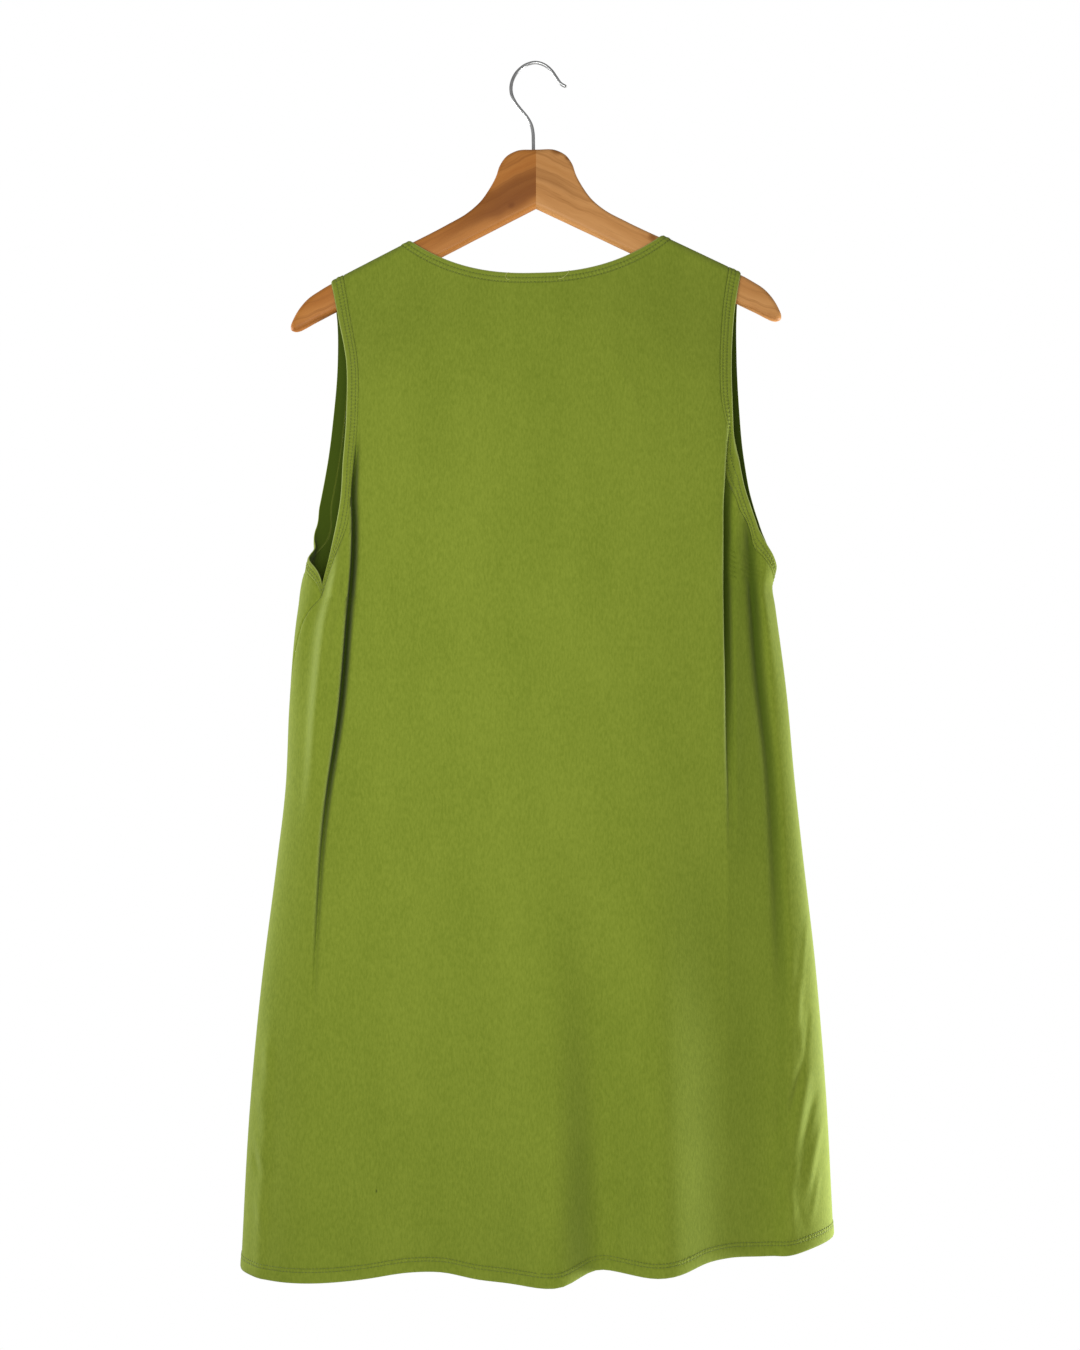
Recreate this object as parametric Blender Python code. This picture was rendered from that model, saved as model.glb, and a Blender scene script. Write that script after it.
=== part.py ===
"""Sleeveless A-line jersey mini dress hanging on a contoured wooden hanger.

Metres, +Z up. The origin is the inside top of the hook, where a rail would carry it. The dress
hangs with its back towards -Y. Left and right are the wearer's, so the left side is at -X.
Sizes below are in millimetres and become metres where a mesh is made.
"""

import math

import bpy
import numpy as np

MM = 0.001

# Driving sizes of the garment, in millimetres below the hook or across.
HEM_Z = -1074.0
UNDERARM_Z = -466.0
SHOULDER_TIP_Z = -188.2
NECK_HALF = 114.0
BACK_NECK_DROP = 35.0
FRONT_NECK_DROP = 104.0
BACK_NECK_CURVE = 2.35
FRONT_NECK_CURVE = 2.1
WALL = 1.2
HEM_WALL = 1.9
HEM_TURN = 13.0
NECK_BAND = 9.0
ARMHOLE_BAND = 10.0
BAND_WALL = 1.6
SEAM_HALF_GAP = 0.3

# The hanger: a straight-armed plate swept forwards, a little tilted, its right end up.
TILT = 0.0218
ARM_HALF_THICK = 6.0
ARM_EDGE_RADIUS = 5.5
ARM_SWEEP_SLOPE = 0.085
ARM_SWEEP_BOW = 6.0
ARM_REACH = 224.0
ARM_SLOPE = 0.462
ARM_TOP_X = 80.0
ARM_TOP_Z = -140.9
WIRE_RADIUS = 1.5
CLOTH_LIFT = 1.5
CLOTH_SIDE = 1.5
ARCH_HEIGHT = 7.5
SHOULDER_BLEND = 125.0

# One row for each level of the garment's rounded section, top to bottom.
SECTION_COLUMNS = ("z", "centre", "half_width", "middle", "lean", "back", "front", "square")
SECTIONS = np.array((
    (-150.0, 0.0, 213.0, 10.0, 0.0, 18.0, 18.0, 2.5),
    (-215.0, 0.0, 213.0, 10.0, 0.0, 22.0, 22.0, 2.5),
    (-300.0, 1.0, 213.0, 10.0, 1.0, 27.0, 28.0, 2.5),
    (-380.0, 2.5, 214.0, 10.0, 2.0, 32.0, 33.0, 2.5),
    (-455.0, 3.4, 214.2, 11.0, 3.0, 36.0, 37.0, 2.6),
    (-474.0, 0.6, 212.8, 11.0, 3.2, 36.5, 37.5, 2.65),
    (-492.0, 0.5, 215.4, 11.0, 3.5, 37.0, 38.0, 2.7),
    (-570.0, 2.4, 224.0, 12.0, 4.5, 39.0, 41.0, 2.9),
    (-650.0, 4.4, 229.7, 13.0, 6.0, 41.0, 44.0, 3.1),
    (-716.0, 4.2, 237.2, 13.0, 7.0, 42.0, 46.0, 3.3),
    (-824.0, 3.8, 250.5, 14.0, 8.5, 44.0, 49.0, 3.6),
    (-932.0, 3.8, 260.6, 15.0, 10.5, 46.0, 52.0, 3.9),
    (-1080.0, 3.9, 268.8, 15.0, 12.0, 48.0, 55.0, 4.2),
))

# Armhole edge, underarm to shoulder tip: its height, and degrees round from the middle
# of the back or of the front on each side.
ARMHOLE_COLUMNS = ("z", "back_left", "back_right", "front_left", "front_right")
ARMHOLE = np.array((
    (-466.0, 64.6, 92.0, 115.4, 88.0),
    (-460.0, 64.0, 89.4, 114.4, 86.0),
    (-448.0, 62.4, 81.0, 110.0, 79.4),
    (-436.0, 60.8, 72.8, 98.0, 74.2),
    (-425.0, 59.7, 68.6, 84.5, 70.6),
    (-412.0, 58.4, 66.0, 74.6, 67.9),
    (-392.0, 56.6, 62.6, 69.8, 64.9),
    (-355.0, 55.0, 59.0, 64.4, 61.6),
    (-310.0, 53.4, 56.2, 60.9, 60.0),
    (-260.0, 53.6, 55.6, 58.6, 59.2),
    (-225.0, 57.0, 57.4, 58.6, 59.4),
    (-190.0, 60.6, 60.6, 60.9, 60.9),
))

# Degrees that the side seam stands round from the section's widest point, by level.
SEAM_COLUMNS = ("z", "left", "right")
SEAMS = np.array((
    (-460.0, 25.4, 2.0),
    (-476.0, 25.4, 2.0),
    (-484.0, 20.4, 2.2),
    (-496.0, 15.0, 2.8),
    (-512.0, 11.0, 3.4),
    (-542.0, 5.0, 4.0),
    (-640.0, 0.0, 4.0),
    (-1080.0, -2.0, 4.0),
))
# How far the left side is drawn in beside the foot of its armhole, by level, and over how many
# degrees either side of a place a little in front of the section's widest point.
TUCK_COLUMNS = ("z", "left")
TUCKS = np.array((
    (-380.0, 0.0),
    (-400.0, 0.6),
    (-412.0, 4.0),
    (-425.0, 10.0),
    (-436.0, 9.6),
    (-448.0, 4.6),
    (-457.0, 1.4),
    (-466.0, 0.0),
    (-490.0, 0.0),
))
TUCK_PLACE = -2.0
TUCK_WIDTH = 12.0

# Folds and hem waves: the levels where they start, bend and end, their place across as a share
# of the half width there, height (outwards is positive), how wide they are towards the left and
# towards the right, and over what length they grow in below their start.
FOLD_COLUMNS = (
    "z_top", "z_bend", "z_end", "s_top", "s_bend", "s_end", "height", "left", "right", "rise",
)
BACK_FOLDS = (
    (-370.0, -690.0, -860.0, -0.79, -0.845, -0.825, 9.0, 24.0, 8.0, 150.0),
    (-370.0, -690.0, -860.0, -0.74, -0.800, -0.780, -7.0, 8.0, 16.0, 150.0),
    (-320.0, -560.0, -680.0, 0.81, 0.800, 0.780, -6.0, 8.0, 8.0, 150.0),
    (-390.0, -640.0, -900.0, 0.87, 0.900, 0.865, -8.0, 10.0, 12.0, 150.0),
    (-600.0, -950.0, -1400.0, -0.75, -0.78, -0.80, 7.0, 45.0, 45.0, 400.0),
    (-560.0, -950.0, -1400.0, -0.36, -0.385, -0.40, -8.0, 60.0, 55.0, 400.0),
    (-640.0, -1000.0, -1400.0, 0.02, 0.045, 0.05, 27.0, 42.0, 26.0, 440.0),
    (-760.0, -1000.0, -1400.0, 0.18, 0.200, 0.21, -8.0, 20.0, 24.0, 300.0),
    (-600.0, -1000.0, -1400.0, 0.40, 0.410, 0.40, 22.0, 32.0, 36.0, 440.0),
    (-500.0, -900.0, -1400.0, 0.70, 0.720, 0.70, -13.0, 50.0, 44.0, 400.0),
)
FRONT_FOLDS = (
    (-370.0, -640.0, -880.0, -0.83, -0.86, -0.83, 8.0, 20.0, 9.0, 150.0),
    (-370.0, -640.0, -880.0, -0.77, -0.80, -0.78, -6.0, 9.0, 16.0, 150.0),
    (-360.0, -600.0, -820.0, 0.78, 0.82, 0.80, 8.0, 10.0, 22.0, 150.0),
    (-360.0, -600.0, -820.0, 0.72, 0.76, 0.75, -6.0, 16.0, 9.0, 150.0),
    (-520.0, -900.0, -1400.0, -0.60, -0.62, -0.63, 20.0, 40.0, 34.0, 480.0),
    (-600.0, -950.0, -1400.0, -0.33, -0.34, -0.35, -12.0, 38.0, 44.0, 420.0),
    (-560.0, -980.0, -1400.0, -0.08, -0.07, -0.06, 24.0, 36.0, 40.0, 500.0),
    (-640.0, -980.0, -1400.0, 0.17, 0.18, 0.18, -10.0, 30.0, 34.0, 400.0),
    (-540.0, -920.0, -1400.0, 0.44, 0.45, 0.46, 21.0, 36.0, 42.0, 480.0),
    (-520.0, -900.0, -1400.0, 0.75, 0.74, 0.73, -10.0, 40.0, 34.0, 420.0),
)
FOLD_FADE = 130.0
SILHOUETTE_CALM = 14
HEM_EASE_Z = -850.0
# How far the hem hangs below its level on the back and on the front, by place across.
HEM_COLUMNS = ("x", "back", "front")
HEM_DROPS = np.array((
    (-275.0, 2.0, 2.0),
    (-245.0, 4.8, 1.6),
    (-203.0, 5.1, 2.0),
    (-150.0, 4.0, 5.0),
    (-112.0, 0.8, 5.4),
    (-84.0, 1.2, 2.4),
    (-50.0, 7.0, 0.8),
    (-16.0, 7.3, 4.0),
    (22.0, 7.3, 3.6),
    (48.0, 3.2, 0.8),
    (75.0, 4.6, 0.2),
    (104.0, 5.0, 4.0),
    (128.0, 3.4, 5.0),
    (150.0, -0.4, 3.0),
    (172.0, -0.2, 0.6),
    (205.0, 3.0, 0.0),
    (228.0, 2.6, 1.0),
    (250.0, -1.0, -1.0),
    (275.0, -4.5, -4.5),
))

# Sections along one arm, from the mitre to the tip. Columns: x and z of the point on the upper
# edge, then x and z of the point on the lower edge.
ARM_SECTIONS = np.array((
    (0.2, -77.2, 0.2, -130.1),
    (17.6, -77.6, 6.0, -132.9),
    (26.6, -82.0, 13.0, -136.2),
    (32.5, -89.8, 21.0, -139.9),
    (36.0, -99.7, 31.0, -144.6),
    (41.9, -110.5, 42.5, -150.0),
    (49.8, -121.3, 55.0, -155.8),
    (62.0, -131.4, 68.5, -162.2),
    (80.0, -140.9, 85.0, -169.9),
    (120.0, -159.4, 121.0, -186.7),
    (160.0, -177.9, 158.0, -204.0),
    (196.0, -194.6, 192.0, -219.9),
    (208.5, -202.6, 203.0, -225.1),
    (216.6, -211.6, 210.5, -228.6),
    (221.8, -220.6, 216.5, -231.0),
    (223.8, -227.0, 220.5, -231.8),
))
ARM_CORNER_STEPS = 3

# The hook's wire, from its seat on the wood up, over the rail and down to its tip, as x and z.
HOOK_ROUTE = np.array((
    (-2.3, -76.9),
    (-2.4, -70.0),
    (-2.7, -62.0),
    (-4.3, -54.6),
    (-8.2, -47.6),
    (-13.5, -41.2),
    (-18.9, -34.0),
    (-22.0, -26.8),
    (-22.4, -19.6),
    (-20.0, -11.6),
    (-15.0, -4.9),
    (-8.2, -0.3),
    (0.0, 1.5),
    (7.6, -0.7),
    (13.4, -5.3),
    (18.4, -12.2),
    (22.2, -17.4),
    (27.6, -20.6),
))
HOOK_POINTS = 56

# Mesh steps: columns over each shoulder, columns over the neck, rows below the underarm.
BACK_SHOULDER_COLUMNS = 8
BACK_NECK_COLUMNS = 22
FRONT_SHOULDER_COLUMNS = 6
FRONT_NECK_COLUMNS = 18
BODY_ROWS = 18
# Extra columns where the neck band turns over the arm, as shares of the neck in from its corner.
BACK_NECK_TURN = (0.0075, 0.0245)
FRONT_NECK_TURN = (0.0045, 0.014)
# Steps down from the shoulder seam of the rows above the underarm, as a share of that height.
YOKE_STEPS = np.array((
    0.0, 0.0076, 0.0266, 0.06, 0.11, 0.18, 0.26, 0.35, 0.44, 0.53, 0.62, 0.70, 0.775, 0.845,
    0.905, 0.95, 0.982, 1.0,
))
BAND_TURN_SHARE = 0.28
BAND_TOP_SHARE = 0.25
NECK_CURVE_STEPS = 400
ANGLE_PROBE = 0.2
LEVEL_PROBE = 0.4

COLOURS = {
    "olive_jersey": (0.212, 0.279, 0.033, 1.0),
    "varnished_wood": (0.445, 0.212, 0.071, 1.0),
    "plated_wire": (0.60, 0.60, 0.60, 1.0),
}
ROUGHNESS = {"olive_jersey": 0.9, "varnished_wood": 0.35, "plated_wire": 0.3}


def clear_scene():
    for thing in list(bpy.data.objects):
        bpy.data.objects.remove(thing, do_unlink=True)


def material(name, metallic=0.0):
    made = bpy.data.materials.new(name)
    made.use_nodes = True
    shader = made.node_tree.nodes["Principled BSDF"]
    shader.inputs["Base Color"].default_value = COLOURS[name]
    shader.inputs["Roughness"].default_value = ROUGHNESS[name]
    shader.inputs["Metallic"].default_value = metallic
    return made


def smooth(share):
    """Ease from 0 to 1: three times the square less twice the cube, flat outside 0 to 1."""
    share = np.clip(share, 0.0, 1.0)
    return share * share * (3.0 - 2.0 * share)


def column(table, names, name, level):
    """One named column of a table, read at any level by a smooth curve through its rows."""
    order = np.argsort(table[:, 0])
    levels = table[order, 0]
    values = table[order, names.index(name)]
    slopes = np.gradient(values, levels)
    level = np.clip(level, levels[0], levels[-1])
    row = np.clip(np.searchsorted(levels, level) - 1, 0, len(levels) - 2)
    step = levels[row + 1] - levels[row]
    share = (level - levels[row]) / step
    start = values[row] + slopes[row] * step * share * (1.0 - share) ** 2
    rise = values[row + 1] - values[row]
    end = slopes[row + 1] * step * share ** 2 * (share - 1.0)
    return start + rise * smooth(share) + end


def section(name, level):
    return column(SECTIONS, SECTION_COLUMNS, name, level)


def arm_sweep(x):
    """How far the arm's middle has swept forwards at a distance x from the mitre."""
    reach = np.abs(x)
    return ARM_SWEEP_SLOPE * reach + ARM_SWEEP_BOW * (reach / ARM_REACH) ** 2


def shoulder_line(x):
    """Height of the cloth over the arm's upper edge, which falls evenly towards the tip."""
    return ARM_TOP_Z + CLOTH_LIFT - ARM_SLOPE * (np.abs(x) - ARM_TOP_X)


def folds(table, share, half_width, level):
    """Sum of the folds at a place: each is a bell across, wider on one side, and eases in
    below its top and out towards its end."""
    total = np.zeros(np.broadcast(share, level).shape)
    for row in table:
        fold = dict(zip(FOLD_COLUMNS, row))
        levels = (fold["z_end"], fold["z_bend"], fold["z_top"])
        places = (fold["s_end"], fold["s_bend"], fold["s_top"])
        away = (share - np.interp(level, levels, places)) * half_width
        wide = np.where(away < 0.0, fold["left"], fold["right"])
        grown = smooth((fold["z_top"] - level) / fold["rise"])
        left_over = smooth((level - fold["z_end"]) / FOLD_FADE)
        total = total + fold["height"] * grown * left_over * np.exp(-((away / wide) ** 2))
    return total * (1.0 - np.abs(share) ** SILHOUETTE_CALM)


def cloth(degrees, level):
    """The cloth's inner face at an angle round the section and a level, before the tilt.

    0 degrees is the middle of the back and 180 the middle of the front. Across, x is the half
    width times the sine. The depth is the section's depth times the root of one less the sine to
    the power of its squareness. Near the shoulders it eases into an arch over the hanger's arm,
    and towards the hem it drops by the hem's own table. The left side is drawn in by a bell
    across beside its armhole's foot.
    """
    turn = np.radians(degrees)
    share = np.sin(turn)
    front = np.cos(turn) < 0.0
    half_width = section("half_width", level)
    x = section("centre", level) + half_width * share
    fullness = 1.0 - np.abs(share) ** section("square", level)
    bow = np.sqrt(np.maximum(fullness, 0.0))
    back_fold = folds(BACK_FOLDS, share, half_width, level)
    front_fold = folds(FRONT_FOLDS, share, half_width, level)
    back_depth = -section("back", level) * bow - back_fold
    front_depth = section("front", level) * bow + front_fold
    middle = section("middle", level) + section("lean", level) * share
    hung = middle + np.where(front, front_depth, back_depth)
    down = np.maximum(shoulder_line(x) - level, 0.0)
    lift = 1.0 - np.minimum(down / ARCH_HEIGHT, 1.0)
    arch = (ARM_HALF_THICK + CLOTH_SIDE) * np.sqrt(1.0 - lift * lift)
    arch = np.maximum(arch, SEAM_HALF_GAP)
    over_arm = arm_sweep(x) + np.where(front, arch, -arch)
    share_hung = smooth(down / SHOULDER_BLEND)
    y = over_arm * (1.0 - share_hung) + hung * share_hung
    beside = np.degrees(np.arctan2(np.cos(turn), -share)) - TUCK_PLACE
    drawn = column(TUCKS, TUCK_COLUMNS, "left", level) * np.exp(-((beside / TUCK_WIDTH) ** 2))
    back_drop = column(HEM_DROPS, HEM_COLUMNS, "back", x)
    drop = np.where(front, column(HEM_DROPS, HEM_COLUMNS, "front", x), back_drop)
    z = level - drop * smooth((HEM_EASE_Z - level) / (HEM_EASE_Z - HEM_Z))
    return np.stack(np.broadcast_arrays(x + drawn, y, z), axis=-1)


def degrees_at(x, level, front):
    """The angle round the section of a point at x, on the back or on the front."""
    share = (x - section("centre", level)) / section("half_width", level)
    back_degrees = np.degrees(np.arcsin(np.clip(share, -1.0, 1.0)))
    return 180.0 - back_degrees if front else back_degrees


def side_angle(side, front, outwards):
    """Degrees round the section of a place counted from its panel's middle towards a side."""
    signed = -outwards if side == "left" else outwards
    return 180.0 - signed if front else signed


def per_degree(degrees, level):
    """Millimetres of cloth for one degree round the section, read just below the arch."""
    below = level - 2.0 * ARCH_HEIGHT
    step = cloth(degrees + 0.5, below) - cloth(degrees - 0.5, below)
    return np.linalg.norm(step, axis=-1)


def outward(degrees, level):
    """Unit normals of the cloth at a place, facing away from the inside of the garment."""
    around = cloth(degrees + ANGLE_PROBE, level) - cloth(degrees - ANGLE_PROBE, level)
    up = cloth(degrees, level + LEVEL_PROBE) - cloth(degrees, level - LEVEL_PROBE)
    normal = np.cross(around, up)
    return normal / np.linalg.norm(normal, axis=-1, keepdims=True)


def neck_curve(front, across):
    """Points along the neck from right of centre to left, at a distance across its band.

    The edge drops from the neck points by a power curve. The band's width turns from straight
    down at the centre to along the shoulder at the neck points.
    """
    share = np.linspace(-1.0, 1.0, NECK_CURVE_STEPS + 1)
    drop = FRONT_NECK_DROP if front else BACK_NECK_DROP
    curve = FRONT_NECK_CURVE if front else BACK_NECK_CURVE
    low = shoulder_line(NECK_HALF) - drop
    z = low + drop * np.abs(share) ** curve
    along_shoulder = math.atan2(1.0, ARM_SLOPE)
    lean = along_shoulder * np.abs(share) ** 1.5
    x = NECK_HALF * share + across * np.sin(lean) * np.sign(share)
    return x, z - across * np.cos(lean)


def armhole_curve(side, front, across, share):
    """Angle and level at a share of the way up the armhole, at a distance across its band.

    The band's width points down at the underarm and turns to point sideways further up, and
    along the shoulder at the top. Angles count outwards from the middle of the panel.
    """
    name = ("front_" if front else "back_") + side
    level = UNDERARM_Z + (SHOULDER_TIP_Z - UNDERARM_Z) * share
    outwards = column(ARMHOLE, ARMHOLE_COLUMNS, name, level)
    lean = 0.5 * math.pi * smooth(share / BAND_TURN_SHARE)
    near = level - across * np.cos(lean)
    middle = side_angle(side, front, outwards)
    outwards = outwards - across * np.sin(lean) / per_degree(middle, near)
    x = cloth(side_angle(side, front, outwards), near)[..., 0]
    rise = shoulder_line(x) - SHOULDER_TIP_Z
    return outwards, near + rise * smooth((share - 1.0 + BAND_TOP_SHARE) / BAND_TOP_SHARE)


def side_edge(side, front, share_up, levels):
    """Angle and level of a panel's side: the side seam up to the armhole band, then the band's
    inner edge up to the shoulder. Angles count from the middle of the panel outwards."""
    seam = column(SEAMS, SEAM_COLUMNS, side, levels)
    toward_back = seam if side == "left" else -seam
    seam_degrees = 90.0 + toward_back if front else 90.0 - toward_back
    inset = ARMHOLE_BAND + 2.0 * SEAM_HALF_GAP
    band_degrees, band_levels = armhole_curve(side, front, inset, share_up)
    degrees = np.concatenate((seam_degrees[:-1], band_degrees))
    side_levels = np.concatenate((levels[:-1], band_levels))
    seam_rows = np.arange(len(degrees)) < len(levels)
    angles = side_angle(side, front, degrees)
    gap = SEAM_HALF_GAP / per_degree(angles, side_levels)
    return np.where(seam_rows, degrees - gap, degrees), side_levels


def top_line(front, x):
    """Height of a panel's top at x: under the neck band, and along the shoulder outside it."""
    across = NECK_BAND + 2.0 * SEAM_HALF_GAP
    neck_x, neck_z = neck_curve(front, across)
    inside = np.abs(x) < neck_x[-1]
    return np.where(inside, np.interp(x, neck_x, neck_z), shoulder_line(x))


def panel_grid(front):
    """Angles and levels of a panel's rows and columns, hem to shoulder and side to side."""
    shoulder = FRONT_SHOULDER_COLUMNS if front else BACK_SHOULDER_COLUMNS
    over_neck = FRONT_NECK_COLUMNS if front else BACK_NECK_COLUMNS
    share_up = 1.0 - YOKE_STEPS[::-1]
    band_foot = UNDERARM_Z - ARMHOLE_BAND - 2.0 * SEAM_HALF_GAP
    body_rows = np.linspace(HEM_Z + HEM_TURN, band_foot, BODY_ROWS)
    levels = np.concatenate(((HEM_Z,), body_rows))
    left_degrees, side_levels = side_edge("left", front, share_up, levels)
    right_degrees, side_levels = side_edge("right", front, share_up, levels)
    neck_x, neck_z = neck_curve(front, NECK_BAND + 2.0 * SEAM_HALF_GAP)
    corner = float(degrees_at(neck_x[-1], neck_z[-1], False))
    whole = left_degrees[-1] + right_degrees[-1]
    left_corner = (left_degrees[-1] - corner) / whole
    right_corner = 1.0 - (right_degrees[-1] - corner) / whole
    turn = np.array(FRONT_NECK_TURN if front else BACK_NECK_TURN)
    over = np.linspace(0.0, 1.0, over_neck + 1)[1:-1]
    over = np.concatenate(((0.0,), turn, over, 1.0 - turn[::-1], (1.0,)))
    shares = np.concatenate((
        np.linspace(0.0, left_corner, shoulder + 1)[:-1],
        left_corner + (right_corner - left_corner) * over,
        np.linspace(right_corner, 1.0, shoulder + 1)[1:],
    ))
    degrees = -left_degrees[:, None] * (1.0 - shares) + right_degrees[:, None] * shares
    grid_levels = np.repeat(side_levels[:, None], len(shares), axis=1)
    yoke = len(levels) - 1
    top_x = section("centre", side_levels[-1])
    top_x = top_x + section("half_width", side_levels[-1]) * np.sin(np.radians(degrees[-1]))
    top_z = top_line(front, top_x)
    rise = (side_levels[yoke:] - side_levels[yoke]) / (side_levels[-1] - side_levels[yoke])
    grid_levels[yoke:] = side_levels[yoke] + (top_z - side_levels[yoke]) * rise[:, None]
    if front:
        degrees = 180.0 - degrees
    return degrees, grid_levels


def tilted(points):
    """The hanger's tilt, carried by the whole garment as a rise in step with x."""
    lifted = points.copy()
    lifted[..., 2] += TILT * points[..., 0]
    return lifted


def grid_faces(rows, columns, first, flip):
    row, col = np.meshgrid(np.arange(rows - 1), np.arange(columns - 1), indexing="ij")
    corner = first + row * columns + col
    quad = np.stack((corner, corner + 1, corner + columns + 1, corner + columns), axis=-1)
    quad = quad.reshape(-1, 4)
    return quad[:, ::-1] if flip else quad


def rim(rows, columns):
    """The grid's border indices in order, once round."""
    bottom = np.arange(columns)
    right = np.arange(1, rows) * columns + columns - 1
    top = (rows - 1) * columns + np.arange(columns - 2, -1, -1)
    left = np.arange(rows - 2, 0, -1) * columns
    return np.concatenate((bottom, right, top, left))


def mesh_object(name, points, faces, finish):
    mesh = bpy.data.meshes.new(name)
    mesh.from_pydata((points * MM).tolist(), [], [list(map(int, face)) for face in faces])
    mesh.validate()
    mesh.materials.append(finish)
    mesh.shade_smooth()
    mesh.set_sharp_from_angle(angle=math.radians(40.0))
    made = bpy.data.objects.new(name, mesh)
    bpy.context.scene.collection.objects.link(made)
    return made


def wall_object(name, inner, outer, finish, facing_out):
    """A closed wall between two grids of points, joined round their border."""
    rows, columns = inner.shape[:2]
    count = rows * columns
    points = tilted(np.concatenate((outer.reshape(-1, 3), inner.reshape(-1, 3))))
    border = rim(rows, columns)
    following = np.roll(border, -1)
    side = np.stack((following, border, border + count, following + count), axis=-1)
    faces = np.concatenate((
        grid_faces(rows, columns, 0, not facing_out),
        grid_faces(rows, columns, count, facing_out),
        side if facing_out else side[:, ::-1],
    ))
    return mesh_object(name, points, faces, finish)


def tube_object(name, rings, finish, closed):
    """Closed cross-sections joined one to the next: a loop, or capped at both ends."""
    stations, around = rings.shape[:2]
    points = tilted(rings.reshape(-1, 3))
    station = np.arange(stations if closed else stations - 1)
    place = np.arange(around)
    station, place = np.meshgrid(station, place, indexing="ij")
    after = (station + 1) % stations
    beside = (place + 1) % around
    quads = np.stack((
        station * around + place,
        station * around + beside,
        after * around + beside,
        after * around + place,
    ), axis=-1).reshape(-1, 4)
    faces = [list(quad) for quad in quads]
    if not closed:
        faces.append(list(range(around - 1, -1, -1)))
        faces.append([(stations - 1) * around + k for k in range(around)])
    return mesh_object(name, points, faces, finish)


def make_panel(name, front, finish):
    degrees, levels = panel_grid(front)
    inner = cloth(degrees, levels)
    normal = outward(degrees, levels)
    hem_share = smooth((HEM_Z + 2.0 * HEM_TURN - levels) / HEM_TURN)
    thick = WALL + (HEM_WALL - WALL) * hem_share
    outer = inner + normal * thick[..., None]
    return wall_object(name, inner, outer, finish, not front)


def band_rings(places):
    """Six points round a band's section at each station: three outside and three inside."""
    inside = [cloth(degrees, level) for degrees, level in places]
    outside = [
        points + outward(degrees, level) * BAND_WALL
        for points, (degrees, level) in zip(inside, places)
    ]
    return np.stack((*outside, *inside[::-1]), axis=1)


def neck_stations(front, across, count_from):
    """Neck band points at a distance across it, one for each column of the panel below."""
    degrees, levels = panel_grid(front)
    shoulder = FRONT_SHOULDER_COLUMNS if front else BACK_SHOULDER_COLUMNS
    top = cloth(degrees[-1:], levels[-1:])[0]
    under = top[shoulder:len(top) - shoulder, 0]
    reference_x, reference_z = neck_curve(front, count_from)
    share = np.linspace(-1.0, 1.0, NECK_CURVE_STEPS + 1)
    station = np.interp(under, reference_x, share)
    x, z = neck_curve(front, across)
    level = np.interp(station, share, z)
    place = np.interp(station, share, x)
    return degrees_at(place, level, front), level


def make_neck_binding(finish):
    """The band round the neck: the back from left to right, then the front from right to left."""
    reference = NECK_BAND + 2.0 * SEAM_HALF_GAP
    places = []
    for across in (0.0, NECK_BAND * 0.5, NECK_BAND):
        back = np.array(neck_stations(False, across, reference))
        front = np.array(neck_stations(True, across, reference))
        places.append(np.concatenate((back, front[:, ::-1]), axis=1))
    return tube_object("neck_binding", band_rings(places), finish, True)


def make_armhole_binding(side, finish):
    """The band round one armhole: up the back from the underarm and down the front."""
    share_up = 1.0 - YOKE_STEPS[::-1]
    places = []
    for across in (0.0, ARMHOLE_BAND * 0.5, ARMHOLE_BAND):
        halves = []
        for front in (False, True):
            outwards, level = armhole_curve(side, front, across, share_up)
            halves.append(np.array((side_angle(side, front, outwards), level)))
        back, front = halves
        places.append(np.concatenate((back, front[:, -1:0:-1]), axis=1))
    rings = band_rings(places)
    if side == "right":
        rings = rings[:, ::-1]
    return tube_object("armhole_binding_" + side, rings, finish, True)


def make_arm(side, finish):
    """One arm of the hanger: rounded rectangles across its width, from the mitre to the tip."""
    sign = -1.0 if side == "left" else 1.0
    top = ARM_SECTIONS[:, :2]
    low = ARM_SECTIONS[:, 2:]
    high = np.linalg.norm(top - low, axis=1)
    radius = np.minimum(ARM_EDGE_RADIUS, high * 0.45)
    rings = []
    for corner, (up, out) in enumerate(((1, 1), (-1, 1), (-1, -1), (1, -1))):
        start = math.pi * 0.5 * corner
        for step in range(ARM_CORNER_STEPS):
            turn = start + math.pi * 0.5 * step / (ARM_CORNER_STEPS - 1)
            along = up * (high * 0.5 - radius) + radius * math.cos(turn)
            beside = out * (ARM_HALF_THICK - radius) + radius * math.sin(turn)
            rings.append(np.stack((along, beside), axis=1))
    shape = np.stack(rings, axis=1)
    middle = (top + low) * 0.5
    direction = (top - low) / high[:, None]
    place = middle[:, None, :] + direction[:, None, :] * shape[..., :1]
    y = arm_sweep(place[..., 0]) + shape[..., 1]
    rings = np.stack((sign * place[..., 0], y, place[..., 1]), axis=-1)
    if side == "right":
        rings = rings[:, ::-1]
    return tube_object("hanger_arm_" + side, rings, finish, False)


def smooth_route(table, count):
    """A smooth curve through a table's points, at even shares of its chord length."""
    chord = np.linalg.norm(np.diff(table, axis=0), axis=1)
    run = np.concatenate(((0.0,), np.cumsum(chord)))
    wanted = np.linspace(0.0, run[-1], count)
    slopes = np.gradient(table, run, axis=0)
    row = np.clip(np.searchsorted(run, wanted) - 1, 0, len(run) - 2)
    step = (run[row + 1] - run[row])[:, None]
    share = (wanted[:, None] - run[row][:, None]) / step
    start = table[row] + slopes[row] * step * share * (1.0 - share) ** 2
    rise = (table[row + 1] - table[row]) * smooth(share)
    return start + rise + slopes[row + 1] * step * share ** 2 * (share - 1.0)


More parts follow.
